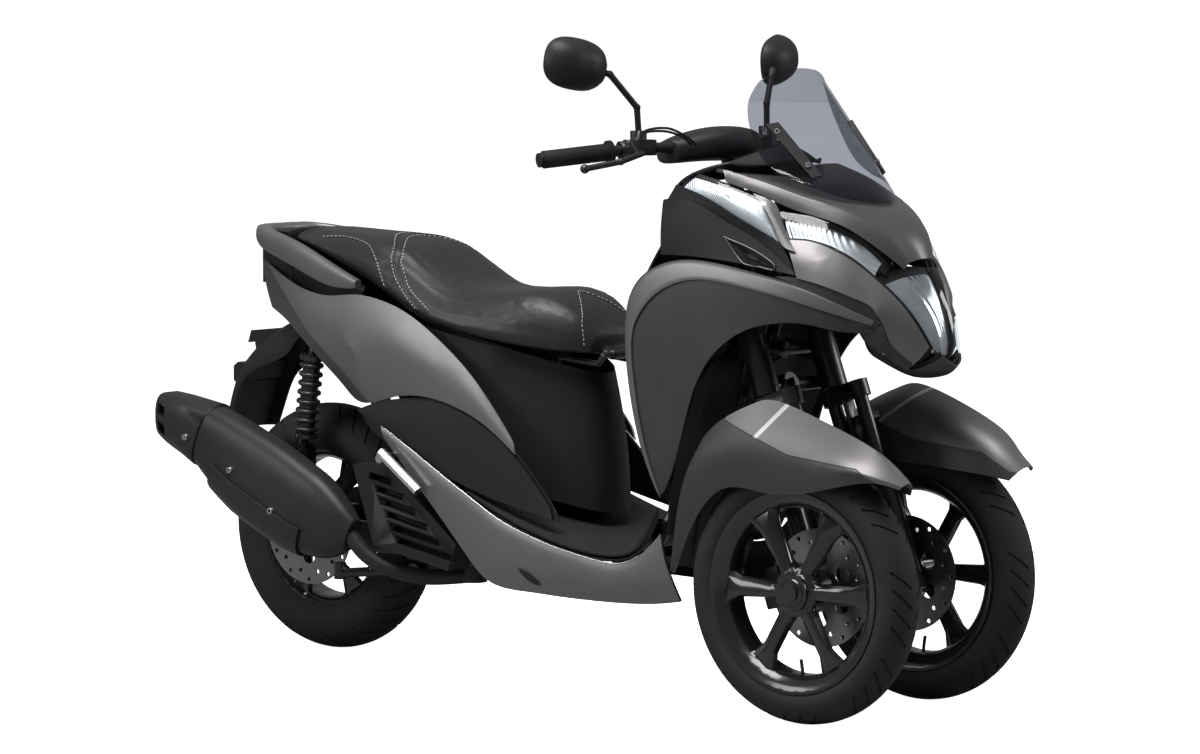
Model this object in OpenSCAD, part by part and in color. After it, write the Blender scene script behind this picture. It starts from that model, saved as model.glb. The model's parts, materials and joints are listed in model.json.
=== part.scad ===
// Leaning three-wheel scooter with two steered front wheels and one driven rear wheel.
// Frame: +X forward, +Y left, +Z up, origin on the floor under the middle of the outline.

/* [Wheels] */
// Distance between the front and rear axles
wheelbase = 1350; // [1280:5:1420]
// Distance between the front wheel centres
front_track = 385; // [375:1:410]
// Front tyre outside diameter
front_tyre_d = 500; // [480:1:520]
// Front tyre width
front_tyre_w = 90; // [80:1:96]
// Front rim bead seat diameter
front_rim_d = 354; // [340:1:366]
// Rear tyre outside diameter
rear_tyre_d = 512; // [490:1:530]
// Rear tyre width
rear_tyre_w = 130; // [120:1:138]
// Rear rim bead seat diameter
rear_rim_d = 330; // [318:1:342]
// Wheel axle diameter
axle_d = 20; // [16:0.5:24]
// Number of spokes in each wheel
spoke_count = 6; // [5:1:7]
// Front brake disc diameter
front_disc_d = 224; // [210:1:236]
// Rear brake disc diameter
rear_disc_d = 230; // [215:1:240]
// Brake disc thickness
disc_t = 4; // [3:0.5:5]

/* [Steering] */
// Backward lean of the steering axes in degrees
caster = 20; // [18:0.5:22]
// Forward offset of the axle from the steering axis
fork_offset = 20; // [15:1:25]
// Distance from a front wheel centre inward to its kingpin
kingpin_inset = 84; // [82:0.5:88]
// Distance between the two tubes of one fork
fork_pitch = 65; // [62:1:70]
// Kingpin diameter
kingpin_d = 28; // [24:1:32]

/* [Body] */
// Overhang behind the rear axle
rear_overhang = 300; // [290:1:310]
// Half width of the leg shields and skirts
shield_w = 228; // [222:1:236]
// Half width of the seat
seat_w = 162; // [156:1:168]
// Height of the rider's seat
seat_height = 770; // [755:1:785]
// Height of the foot floor at its front
floor_height = 285; // [275:1:295]
// Wall thickness of the body panels
wall = 4; // [3:0.5:5]
// Wall thickness of the windscreen
screen_t = 4; // [3:0.5:5]

/* [Handlebar] */
// Half width over the grips
bar_w = 380; // [365:1:395]
// Handlebar tube diameter
bar_d = 22; // [20:0.5:25]
// Grip diameter
grip_d = 34; // [32:0.5:38]
// Height of the handlebar clamp
bar_height = 1062; // [1050:1:1075]

/* [Rear] */
// Half width between the rear frame rails
rail_y = 128; // [126:0.5:132]
// Frame tube diameter
rail_d = 28; // [25:0.5:30]
// Storage box half width
box_w = 112; // [100:1:112]
// Muffler height
muffler_h = 186; // [176:1:194]
// Muffler width
muffler_w = 96; // [88:1:100]

// Spacing of the two rack bolts in the grab rail
rack_pitch = 80; // [60:1:90]
// Spacing of the two number plate bolts
plate_pitch = 110; // [100:1:120]

/* [Fits] */
// Radial running clearance of turning pairs
run = 0.05; // [0.02:0.01:0.1]
// Gap between pieces that are bolted together
seat_gap = 0.3; // [0.2:0.05:0.5]

/* [Hidden] */
$fn = 48;
front_r = front_tyre_d / 2;
rear_r = rear_tyre_d / 2;
rear_axle_x = -(wheelbase + front_r - rear_overhang) / 2;
front_axle_x = rear_axle_x + wheelbase;
half_track = front_track / 2;
kingpin_y = half_track - kingpin_inset;
steer_x = front_axle_x - fork_offset / cos(caster);
front_disc_y = 52;
rear_disc_y = -82;
rail_r = rail_d / 2;
boss_r = 9;
rack_hole_r = 3.4;
plate_hole_r = 3;
plate_z = S(-211);
// Height of the frame stub that the rear fender hangs from
fender_seat_z = S(-71);
// Stem from the head tube's lower end to the bar: its length at the rest height, and now
stem_rest = 308;
bar_rest = 1062;
stem_len = stem_rest + (bar_height - bar_rest) / cos(caster);
bar_x = front_axle_x - 335 - (bar_height - bar_rest) * tan(caster);
hinge_p = [rear_axle_x + 764, 0, seat_height - 118];
hinge_r = 6;
stand_p = [rear_axle_x + 292, 0, 192];
side_p = [rear_axle_x + 560, 172, 196];
side_lean = 25;

// Place along X measured from the front axle
function F(d) = front_axle_x + d;
// Place along X measured from the rear axle
function R(d) = rear_axle_x + d;
// Height measured from the rider's seat
function S(d) = seat_height + 7 + d;
// Height measured from the foot floor
function L(d) = floor_height + d;
// Right-hand place across, measured inward from the leg shield half width
function W(d) = d - shield_w;
function unit(v) = v / norm(v);
function rev(p) = [for (i = [len(p) - 1 : -1 : 0]) p[i]];

// Point at t on the smooth span from b to c
function span(a, b, c, d, t) =
    b + 0.5 * t * (c - a + t * (2 * a - 5 * b + 4 * c - d + t * (3 * (b - c) + d - a)));
// Smooth line through the points of p with n steps in each span
function curve(p, n) = let (k = len(p) - 1)
    [for (i = [0 : k - 1], s = [0 : n - 1])
        span(p[max(i - 1, 0)], p[i], p[i + 1], p[min(i + 2, k)], s / n), p[k]];
// Smooth surface through rows of points, nu steps between rows and nv along a row
function sheet(rows, nu, nv) = let (
    fine = [for (r = rows) curve(r, nv)],
    cols = [for (j = [0 : len(fine[0]) - 1]) curve([for (r = fine) r[j]], nu)])
    [for (i = [0 : len(cols[0]) - 1]) [for (c = cols) c[i]]];
// Outward normal of a sheet at row i, column j
function out_of(g, i, j) = let (a = len(g) - 1, b = len(g[0]) - 1)
    unit(cross(g[min(i + 1, a)][j] - g[max(i - 1, 0)][j], g[i][min(j + 1, b)] - g[i][max(j - 1, 0)]));
// Middle of the wall of a sheet at row i, column j
function in_wall(g, i, j, t) = g[i][j] - out_of(g, i, j) * t / 2;
// The right half of a row followed by its mirror image, for rows that cross the middle plane
function whole(r) = concat(r, [for (i = [len(r) - 2 : -1 : 0]) [r[i][0], -r[i][1], r[i][2]]]);
function tri(a, b, c, d) = [[a, b, c], [a, c, d]];

// Panel of thickness t behind the sheet g
module shell(g, t) {
    m = len(g);
    n = len(g[0]);
    k = m * n;
    outer = [for (r = g, p = r) p];
    inner = [for (i = [0 : m - 1], j = [0 : n - 1]) g[i][j] - out_of(g, i, j) * t];
    faces = [
        for (i = [0 : m - 2], j = [0 : n - 2])
            each tri(i * n + j, i * n + j + 1, (i + 1) * n + j + 1, (i + 1) * n + j),
        for (i = [0 : m - 2], j = [0 : n - 2])
            each tri(k + i * n + j, k + (i + 1) * n + j, k + (i + 1) * n + j + 1, k + i * n + j + 1),
        for (i = [0 : m - 2]) each tri(i * n, (i + 1) * n, k + (i + 1) * n, k + i * n),
        for (i = [0 : m - 2])
            each tri((i + 2) * n - 1, (i + 1) * n - 1, k + (i + 1) * n - 1, k + (i + 2) * n - 1),
        for (j = [0 : n - 2]) each tri(j + 1, j, k + j, k + j + 1),
        for (j = [0 : n - 2])
            each tri((m - 1) * n + j, (m - 1) * n + j + 1, k + (m - 1) * n + j + 1, k + (m - 1) * n + j)];
    polyhedron(concat(outer, inner), faces, convexity = 6);
}

// Solid skinned over closed loops of equal length
module skin(loops) {
    m = len(loops);
    n = len(loops[0]);
    faces = [
        for (i = [0 : m - 2], j = [0 : n - 1])
            each tri(i * n + j, (i + 1) * n + j, (i + 1) * n + (j + 1) % n, i * n + (j + 1) % n),
        [for (j = [0 : n - 1]) j],
        [for (j = [n - 1 : -1 : 0]) (m - 1) * n + j]];
    polyhedron([for (l = loops, p = l) p], faces, convexity = 6);
}

// Round bar from p to q
module bar(p, q, r) {
    v = q - p;
    translate(p) rotate([0, acos(v[2] / norm(v)), atan2(v[1], v[0])]) cylinder(r = r, h = norm(v));
}

// Ball at p with its poles along the unit vector d
module ball(p, d, r) {
    translate(p) rotate([0, acos(d[2]), atan2(d[1], d[0])]) sphere(r);
}

// Tube through the points of p, with a ball at each bend or its lengths run into each other
module tube(p, r, ball = 1.2) {
    n = len(p) - 1;
    e = ball > 0 ? 0.57 : -0.4;
    for (i = [0 : n - 1]) let (d = unit(p[i + 1] - p[i]) * r * e)
        bar(p[i] + (i > 0 ? d : [0, 0, 0]), p[i + 1] - (i < n - 1 ? d : [0, 0, 0]), r);
    if (ball > 0) for (i = [1 : n - 1]) ball(p[i], unit(p[i + 1] - p[i]), r * ball);
}

// Loops of an n-sided tube of radius r through the points of p
function pipe(p, r, n = 8) = [for (i = [0 : len(p) - 1]) let (
    t = unit(p[min(i + 1, len(p) - 1)] - p[max(i - 1, 0)]),
    e = unit([0, 1, 0] - t * t[1]))
    [for (k = [0 : n - 1]) let (a = (k + 0.5) * 360 / n) p[i] + r * (e * cos(a) + cross(t, e) * sin(a))]];

// The children and their mirror image on the left
module both() {
    children();
    mirror([0, 1, 0]) children();
}

// Upright disc or drum across the vehicle, from y0 to y1 around x, z
module across(x, z, y0, y1, r) {
    translate([x, y0, z]) rotate([-90, 0, 0]) cylinder(r = r, h = y1 - y0);
}

// Frame of a steering axis: local z runs up the axis from axle height
module on_kingpin(side) {
    translate([steer_x, side * kingpin_y, front_r]) rotate([0, -caster, 0]) children();
}

// Point at distance s up the steering column and d ahead of it, at y
function column(s, d, y) =
    [bar_x + d * cos(caster) - s * sin(caster), y, bar_height + s * cos(caster) + d * sin(caster)];

// Leg shield rows from low rear to front tip: [arch edge, middle, crease, outer edge] as [x, inset, z]
shield_rows = [
    [[-315, 14, 416], [-320, 13, 412], [-324, 14, 408], [-330, 18, 402]],
    [[-286, 8, 472], [-312, 4, 482], [-352, 6, 490], [-372, 16, 492]],
    [[-247, 4, 592], [-300, 1, 592], [-374, 4, 592], [-397, 14, 592]],
    [[-221, 3, 646], [-295, 0, 668], [-384, 2, 695], [-409, 12, 704]],
    [[-188, 3, 688], [-262, 0, 712], [-362, 1, 752], [-396, 10, 788]],
    [[-138, 6, 724], [-212, 1, 752], [-306, 1, 800], [-342, 9, 840]],
    [[-84, 12, 743], [-140, 5, 768], [-218, 2, 822], [-240, 9, 860]],
    [[-7, 24, 750], [-35, 15, 770], [-78, 8, 803], [-80, 14, 836]],
    [[64, 60, 734], [54, 46, 752], [32, 30, 776], [28, 32, 808]],
    [[102, 112, 732], [102, 104, 738], [112, 102, 744], [122, 108, 752]]];
shield_g = sheet([for (r = shield_rows) [for (p = r) [F(p[0]), W(p[1]), p[2]]]], 3, 2);
shield_m = in_wall(shield_g, 9, 3, wall);

// Cowl flank rows from rear to front: [lower edge, middle, upper edge] as [x, y, z]
flank_rows = [
    [[-14, -202, 833], [-30, -197, 868], [-52, -186, 902]],
    [[30, -190, 822], [16, -180, 862], [-2, -162, 898]],
    [[80, -162, 800], [70, -152, 838], [58, -134, 868]],
    [[110, -128, 776], [107, -116, 802], [101, -105, 827]],
    [[110, -112, 728], [128, -96, 762], [134, -80, 788]],
    [[120, -88, 692], [146, -74, 716], [158, -60, 746]],
    [[146, -58, 668], [162, -52, 684], [176, -44, 704]]];
flank_g = sheet([for (r = flank_rows) [for (p = r) [F(p[0]), p[1], p[2]]]], 3, 3);
flank_m = in_wall(flank_g, 3, 3, wall);

// Bonnet rows from rear to front: [lower edge, crease, top edge, middle] as [x, y, z], right half
bonnet_rows = [
    [[-188, -190, 1006], [-200, -184, 1030], [-240, -150, 1026], [-190, -80, 1018], [-170, 0, 1014]],
    [[-120, -178, 986], [-118, -166, 1008], [-130, -130, 1010], [-110, -70, 1006], [-96, 0, 1004]],
    [[-58, -158, 958], [-48, -142, 982], [-52, -105, 984], [-36, -56, 984], [-26, 0, 984]],
    [[30, -122, 930], [32, -104, 954], [34, -76, 958], [46, -40, 960], [52, 0, 960]],
    [[90, -84, 884], [94, -70, 908], [98, -52, 914], [106, -28, 918], [110, 0, 918]],
    [[122, -48, 846], [126, -42, 858], [130, -32, 862], [136, -16, 866], [138, 0, 866]]];
bonnet_g = sheet([for (r = bonnet_rows) whole([for (p = r) [F(p[0]), p[1], p[2]]])], 3, 2);

// Chin rows from rear to front: [low middle ... upper edge] as [x, y, z], right half from the outside in
chin_rows = [
    [[92, -120, 716], [88, -100, 690], [84, -60, 672], [80, 0, 668]],
    [[106, -98, 690], [104, -80, 672], [102, -46, 660], [100, 0, 656]],
    [[136, -60, 660], [136, -48, 650], [136, -26, 644], [136, 0, 642]],
    [[178, -36, 674], [182, -30, 662], [184, -16, 654], [186, 0, 650]],
    [[196, -30, 690], [202, -24, 680], [206, -13, 672], [208, 0, 668]]];
chin_g = sheet([for (r = rev(chin_rows)) whole([for (p = r) [F(p[0]), p[1], p[2]]])], 3, 2);

// Headlamp lens rows from top to bottom: [outer ... middle] as [x, y, z], right half
lamp_rows = [
    [[104, -90, 826], [128, -58, 842], [140, -28, 848], [144, 0, 850]],
    [[134, -74, 786], [156, -48, 804], [168, -24, 812], [172, 0, 815]],
    [[158, -54, 746], [178, -37, 758], [190, -19, 764], [194, 0, 766]],
    [[180, -38, 708], [194, -28, 714], [203, -15, 716], [206, 0, 717]],
    [[196, -24, 688], [202, -18, 687], [207, -10, 686], [209, 0, 686]]];
lamp_g = sheet([for (r = lamp_rows) whole([for (p = r) [F(p[0]), p[1], p[2]]])], 2, 2);

// Position lamp strip rows from rear to front: [lower, upper] as [x, y, z]
strip_rows = [
    [[-66, -180, 912], [-76, -170, 944], [-84, -158, 960]],
    [[4, -156, 906], [2, -146, 926], [0, -138, 938]],
    [[64, -130, 876], [68, -118, 892], [70, -108, 902]],
    [[104, -104, 838], [106, -94, 854], [108, -86, 862]]];
strip_g = sheet([for (r = strip_rows) [for (p = r) [F(p[0]), p[1], p[2]]]], 3, 2);

// Front signal rows from rear to front: [lower, middle, upper] as [x, y, z]
signal_rows = [
    [[-302, -196, 994], [-292, -196, 1004], [-272, -190, 1020]],
    [[-230, -204, 976], [-222, -205, 994], [-204, -195, 1006]],
    [[-150, -206, 936], [-138, -206, 964], [-122, -190, 982]],
    [[-96, -203, 912], [-86, -200, 934], [-76, -186, 954]],
    [[-52, -196, 890], [-50, -193, 896], [-58, -187, 906]]];
signal_g = sheet([for (r = signal_rows) [for (p = r) [F(p[0]), p[1], p[2]]]], 2, 2);
signal_m = in_wall(signal_g, 3, 2, wall);

// Intake panel rows from rear to front: [lower, middle, upper] as [x, y, z]
intake_rows = [
    [[-328, -206, 866], [-330, -204, 916], [-330, -196, 966]],
    [[-250, -214, 866], [-258, -211, 918], [-262, -204, 972]],
    [[-170, -214, 860], [-176, -209, 892], [-186, -203, 936]],
    [[-90, -209, 850], [-94, -205, 868], [-104, -199, 900]],
    [[-18, -203, 838], [-20, -202, 841], [-24, -200, 846]]];
intake_g = sheet([for (r = intake_rows) [for (p = r) [F(p[0]), p[1], p[2]]]], 2, 2);
intake_m = in_wall(intake_g, 3, 2, wall);

// Windscreen rows from bottom to top: [edge ... middle] as [x, y, z], right half
screen_rows = [
    [[-46, -127, 1006], [0, -90, 982], [34, -46, 972], [50, 0, 968]],
    [[-123, -146, 1034], [-50, -106, 1032], [-18, -55, 1034], [-6, 0, 1034]],
    [[-165, -145, 1100], [-103, -105, 1104], [-76, -55, 1108], [-66, 0, 1110]],
    [[-182, -131, 1158], [-146, -94, 1168], [-128, -48, 1174], [-122, 0, 1176]],
    [[-172, -101, 1196], [-162, -68, 1210], [-157, -35, 1215], [-156, 0, 1217]]];
screen_g = sheet([for (r = rev(screen_rows)) whole([for (p = r) [F(p[0]), p[1], p[2]]])], 2, 2);

// Dash rows from rear to front: [edge ... middle] as [x, y, z], right half
dash_rows = [
    [[-326, -176, 984], [-310, -120, 1000], [-268, -50, 1010], [-262, 0, 1012]],
    [[-300, -178, 1010], [-276, -122, 1030], [-236, -56, 1048], [-226, 0, 1054]],
    [[-256, -165, 1031], [-226, -112, 1038], [-196, -54, 1064], [-186, 0, 1072]],
    [[-214, -147, 1042], [-180, -98, 1034], [-150, -48, 1042], [-140, 0, 1046]]];
dash_g = sheet([for (r = dash_rows) whole([for (p = r) [F(p[0]), p[1], p[2]]])], 2, 2);

// Inner shield rows from bottom to top: [edge ... middle] as [x, y, z], right half
inner_rows = [
    [[-334, -196, 420], [-384, -130, 396], [-412, -70, 376], [-416, 0, 372]],
    [[-372, -194, 500], [-382, -130, 500], [-394, -70, 500], [-398, 0, 500]],
    [[-392, -194, 600], [-390, -130, 620], [-384, -70, 630], [-380, 0, 632]],
    [[-404, -196, 706], [-382, -130, 740], [-362, -70, 760], [-352, 0, 766]],
    [[-392, -196, 796], [-362, -130, 850], [-340, -70, 870], [-328, 0, 876]],
    [[-340, -188, 888], [-328, -130, 930], [-312, -70, 958], [-300, 0, 966]]];
inner_g = sheet([for (r = inner_rows) whole([for (p = r) [F(p[0]), p[1], p[2]]])], 2, 2);

// Floor rows from front to rear: [edge ... middle] as [x, inset, height above the floor]
floor_rows = [
    [[-338, 22, 96], [-392, 80, 72], [-414, 140, 62], [-418, 228, 60]],
    [[-362, 12, 34], [-420, 70, 22], [-440, 130, 22], [-444, 228, 22]],
    [[-420, 12, 0], [-450, 70, 4], [-470, 130, 6], [-474, 228, 6]],
    [[-540, 12, 6], [-545, 70, 12], [-550, 130, 14], [-554, 228, 14]],
    [[-680, 14, 42], [-680, 70, 46], [-680, 130, 48], [-680, 228, 48]],
    [[-820, 26, 96], [-800, 74, 84], [-760, 130, 70], [-756, 228, 70]]];
floor_g = sheet([for (r = rev(floor_rows)) whole([for (p = r) [F(p[0]), W(p[1]), L(p[2])]])], 2, 2);

// Skirt rows from rear to front: [low edge, lower crease, upper crease, top edge] as [x, inset, z]
skirt_rows = [
    [[-1052, 46, 466], [-1055, 44, 474], [-1058, 43, 484], [-1062, 46, 494]],
    [[-975, 38, 398], [-976, 34, 420], [-978, 32, 440], [-980, 36, 456]],
    [[-900, 32, 330], [-896, 24, 362], [-890, 20, 390], [-886, 24, 410]],
    [[-828, 30, 258], [-818, 18, 306], [-800, 12, 342], [-790, 15, 364]],
    [[-762, 30, 200], [-750, 12, 254], [-728, 5, 308], [-718, 9, 330]],
    [[-650, 27, 193], [-645, 8, 238], [-636, 2, 280], [-630, 6, 303]],
    [[-560, 26, 190], [-560, 6, 228], [-562, 1, 264], [-562, 5, 287]],
    [[-460, 26, 190], [-464, 5, 222], [-470, 0, 250], [-470, 4, 272]],
    [[-400, 27, 192], [-404, 6, 224], [-410, 0, 250], [-412, 4, 271]],
    [[-345, 29, 196], [-350, 8, 232], [-358, 2, 264], [-364, 5, 292]],
    [[-292, 34, 204], [-300, 14, 250], [-312, 8, 292], [-322, 10, 334]]];
skirt_g = sheet([for (r = skirt_rows) [for (p = r) [F(p[0]), W(p[1]), p[2]]]], 2, 2);
skirt_m = in_wall(skirt_g, 11, 2, wall);

// Body cover stations from rear right around the front: [x, y, low height, top height, top inset]
cover_rows = [
    [330, -150, 505, 716, 4], [440, -153, 420, 692, 4], [545, -146, 392, 674, 8],
    [630, -122, 374, 660, 14], [700, -90, 356, 640, 14], [746, -52, 342, 626, 10], [762, 0, 338, 620, 6]];
cover_half = [for (r = cover_rows)
    let (k = [for (t = [0, 0.35, 0.7, 1]) [R(r[0]) - t * t * (r[0] > 600 ? 34 : 0),
        r[1] + (r[1] < 0 ? r[4] * t * t : 0), r[2] + t * (S(r[3] - 777) - 8 - r[2])]]) k];
cover_all = concat(cover_half, [for (i = [len(cover_half) - 2 : -1 : 0])
    [for (p = cover_half[i]) [p[0], -p[1], p[2]]]]);
cover_g = sheet(cover_all, 2, 1);

// Tail panel rows from rear to front: [lower edge, middle, upper edge] as [x, y, height from the seat]
tail_rows = [
    [[-96, -88, -66], [-112, -90, -18], [-124, -86, 36]],
    [[-30, -109, -92], [-36, -119, -40], [-50, -112, 6]],
    [[60, -143, -140], [56, -153, -80], [46, -141, -22]],
    [[140, -134, -208], [142, -166, -104], [134, -156, -30]],
    [[206, -146, -248], [212, -177, -130], [214, -163, -22]],
    [[330, -170, -219], [330, -189, -128], [330, -168, -46]],
    [[447, -185, -222], [444, -190, -165], [440, -178, -104]],
    [[560, -191, -258], [554, -193, -220], [545, -185, -182]],
    [[646, -191, -318], [644, -191, -308], [640, -189, -292]]];
tail_g = sheet([for (r = tail_rows) [for (p = r) [R(p[0]), p[1], S(p[2])]]], 2, 2);
tail_m = in_wall(tail_g, 8, 2, wall);

// Side cover rows from rear to front: [lower edge, middle, upper edge] as [x, y, z]
side_rows = [
    [[222, -160, 508], [216, -160, 512], [210, -158, 517]],
    [[262, -170, 474], [268, -174, 508], [272, -168, 536]],
    [[350, -180, 442], [352, -184, 496], [350, -177, 548]],
    [[450, -192, 412], [450, -192, 480], [447, -186, 550]],
    [[540, -198, 384], [548, -196, 448], [558, -192, 514]],
    [[650, -196, 356], [650, -194, 408], [648, -192, 454]],
    [[740, -192, 338], [736, -190, 350], [728, -188, 366]]];
side_g = sheet([for (r = side_rows) [for (p = r) [R(p[0]), p[1], p[2]]]], 2, 2);
side_m = in_wall(side_g, 6, 2, wall);

// Grab rail stations from right front to the rear: [x, y, height of the middle, half height, half width]
rail_rows = [
    [206, -158, -3, 9, 9], [130, -150, 10, 24, 12], [20, -136, 50, 26, 14],
    [-80, -110, 74, 23, 16], [-134, -70, 88, 17, 20], [-148, 0, 92, 13, 22]];
// Seat stations from rear to front: [x, half width, height of the low edge, height of the top]
seat_rows = [
    [-40, 60, 80, 95], [-20, 94, 76, 97], [30, 108, 66, 94], [120, 121, 34, 91], [205, 136, 4, 88],
    [255, 145, -16, 78], [300, 152, -36, 62], [374, 159, -68, 20], [435, 162, -82, -6], [530, 158, -100, -9],
    [610, 146, -111, -4], [668, 126, -118, -16], [712, 100, -122, -42], [745, 70, -124, -84]];

// Frame rails on the right, from the front over the arch, down and along the floor to the tail
rail_p = [
    [F(64), -75, 806], [F(-236), -75, 800], [F(-300), -75, 640],
    [F(-360), -75, 420], [F(-440), -rail_y, 236], [R(530), -rail_y, 236], [R(430), -rail_y, 400],
    [R(300), -rail_y, 560], [R(130), -118, S(-97)], [R(-80), -66, S(-36)]];

// Right post from the floor rail to the seat hinge
post_p = [[R(560), -60, 236], [R(646), -60, S(-217)], [R(658), -60, S(-136)], [R(750), -60, S(-143)]];

// Right boss from a panel at p inward to the plane y_end
module boss(p, y_end) {
    bar(p, [p[0], y_end, p[2]], boss_r);
}

// Stub from a frame rail outward to a panel boss at p
module stub(p, y_rail, y_end) {
    bar([p[0], y_rail, p[2]], [p[0], y_end + seat_gap, p[2]], boss_r + 2);
}

// Height of the two link arms along the steering axis, and their place behind it
arm_z = [396, 468];
arm_x = -36;
// Upper and lower eyes of the rear shocks as [x, z]
shock_top = [R(47), S(-122)];
shock_low = [R(15), 420];
// Turning axis of the side stand, leaning with the leg
side_u = [0, cos(side_lean), sin(side_lean)];
boss_front = -110;
boss_rear = -148;

module main_frame() {
    $fn = 10;
    color([0.09, 0.09, 0.1]) {
        both() {
            skin(pipe(rail_p, rail_r));
            bar([F(-236), -75, 800], [F(-262), -75, 990], 11);
            bar([flank_m[0], -75, flank_m[2]], [F(30), -75, 804], 9);
            stub(flank_m, -75, boss_front);
            bar([shield_m[0], -75, shield_m[2]], [F(-284), -75, shield_m[2]], 9);
            stub(shield_m, -75, boss_front);
            bar([intake_m[0], -75, intake_m[2]], [F(-250), -75, 902], 9);
            stub(intake_m, -75, boss_front);
            bar([signal_m[0], -75, signal_m[2]], [F(-160), -75, 801], 9);
            stub(signal_m, -75, boss_front);
            bar(post_p[0], post_p[1], 10);
            skin(pipe([post_p[1] - [4, 0, 16], post_p[2], post_p[3], [hinge_p[0], -60, hinge_p[2]]], 7));
            bar([skirt_m[0], -rail_y, skirt_m[2]], [skirt_m[0], -rail_y, 236], 9);
            stub(skirt_m, -rail_y, boss_rear);
            bar([tail_m[0], -rail_y + 6, tail_m[2]], [R(300), -rail_y, 560], 10);
            stub(tail_m, -rail_y + 6, boss_rear);
            bar([side_m[0], -rail_y, side_m[2]], [R(378), -rail_y, 464], 10);
            stub(side_m, -rail_y, boss_rear);
        }
        across(F(64), 806, -75, 75, 12);
        across(R(530), 236, -rail_y, rail_y, 12);
        across(R(560), 236, -rail_y, rail_y, 12);
        across(R(130), S(-97), -118, 118, 11);
        across(R(-80), S(-36), -66, 66, 11);
        across(hinge_p[0], hinge_p[2], -64, 64, hinge_r, $fn = 48);
        bar([R(-60), 0, S(-25)], [R(-60), 0, fender_seat_z], 10);
        across(R(-60), S(-32), -70, 70, 8);
        both() {
            bar([R(47), -96, S(-65)], [R(47), -96, shock_top[1]], 10);
            across(R(47), shock_top[1], -126, -90, 7 - seat_gap, $fn = 48);
            bar([R(380), -rail_y, 461], [R(312), -134, 432], 10);
            across(R(312), 432, boss_rear + seat_gap, -130, 11);
        }
        bar([side_p[0], 128, 236], side_p - side_u * 24, 11);
        bar(side_p - side_u * 10.5, side_p - side_u * 24, 12, $fn = 48);
        bar(side_p + side_u * 14, side_p - side_u * 20, hinge_r, $fn = 48);
        difference() {
            union() {
                across(F(-236), 800, -75, 75, 12);
                across(F(-236), 800, -30, 30, 24);
                translate([steer_x, 0, front_r]) rotate([0, -caster, 0]) {
                    translate([arm_x - 44, 0, 380]) cylinder(r = 15, h = 190);
                    for (z = arm_z) translate([arm_x - 50, 0, z]) rotate([0, 90, 0]) cylinder(r = 10, h = 80, $fn = 48);
                }
                bar([F(-236), 0, 800], [F(-360), 0, 420], 22);
                across(F(-360), 420, -75, 75, 11);
                bar(column(-stem_len, 0, 0), column(80 - stem_len, 0, 0), 26, $fn = 48);
            }
            bar(column(-32 - stem_len, 0, 0), column(93 - stem_len, 0, 0), 14 + run, $fn = 48);
        }
    }
}

module front_linkage() {
    color([0.12, 0.12, 0.13]) {
        both() on_kingpin(-1) difference() {
            translate([0, 0, 374]) cylinder(d = kingpin_d + 24, h = 116);
            translate([0, 0, 300]) cylinder(d = kingpin_d + 2 * run, h = 300);
        }
        translate([steer_x, 0, front_r]) rotate([0, -caster, 0]) for (z = arm_z) difference() {
            union() {
                translate([arm_x, 0, z]) rotate([90, 0, 0]) cylinder(r = 13, h = 2 * kingpin_y + 20, center = true);
                translate([arm_x - 20, 0, z]) rotate([0, 90, 0]) cylinder(r = 22, h = 40);
            }
            translate([arm_x - 40, 0, z]) rotate([0, 90, 0]) cylinder(r = 10 + seat_gap, h = 80);
            for (s = [-1, 1]) translate([0, s * kingpin_y, z - 100]) cylinder(d = kingpin_d + 10, h = 200);
        }
    }
}

module front_cowl() {
    color([0.33, 0.34, 0.34]) shell(bonnet_g, wall);
}

module cowl_flanks() {
    color([0.33, 0.34, 0.34]) both() {
        shell(flank_g, wall);
        boss(flank_m, boss_front);
    }
}

module headlight() {
    color([0.8, 0.85, 0.88]) {
        shell(lamp_g, wall);
        both() shell(strip_g, wall);
    }
}

module front_signals() {
    color([0.85, 0.85, 0.8]) both() {
        shell(signal_g, wall);
        boss(signal_m, boss_front);
    }
}

module chin_cover() {
    color([0.2, 0.2, 0.21]) shell(chin_g, wall);
}

module windscreen() {
    color([0.3, 0.33, 0.35, 0.5]) shell(screen_g, screen_t);
}

module dash_panel() {
    color([0.08, 0.08, 0.08]) shell(dash_g, wall);
}

module intake_panels() {
    color([0.09, 0.09, 0.09]) both() {
        shell(intake_g, wall);
        boss(intake_m, boss_front);
    }
}

module leg_shields() {
    color([0.27, 0.28, 0.28]) both() {
        shell(shield_g, wall);
        boss(shield_m, boss_front);
    }
}

module inner_shield() {
    color([0.08, 0.08, 0.08]) difference() {
        shell(inner_g, wall);
        bar(column(88 - stem_len, 0, 0), column(-30, 0, 0), 24);
    }
}

module floor_panel() {
    color([0.1, 0.1, 0.1]) difference() {
        shell(floor_g, wall);
        both() bar(post_p[0], post_p[1], 14);
    }
}

module side_skirts() {
    color([0.33, 0.34, 0.34]) both() {
        shell(skirt_g, wall);
        boss(skirt_m, boss_rear);
    }
}

module body_cover() {
    color([0.09, 0.09, 0.09]) difference() {
        shell(cover_g, wall);
        both() across(side_m[0], side_m[2], -170, -130, boss_r + 5);
    }
}

module side_covers() {
    color([0.1, 0.1, 0.1]) both() {
        shell(side_g, wall);
        boss(side_m, boss_rear);
    }
}

module tail_panels() {
    color([0.33, 0.34, 0.34]) both() {
        shell(tail_g, wall);
        boss(tail_m, boss_rear);
    }
}

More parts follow.
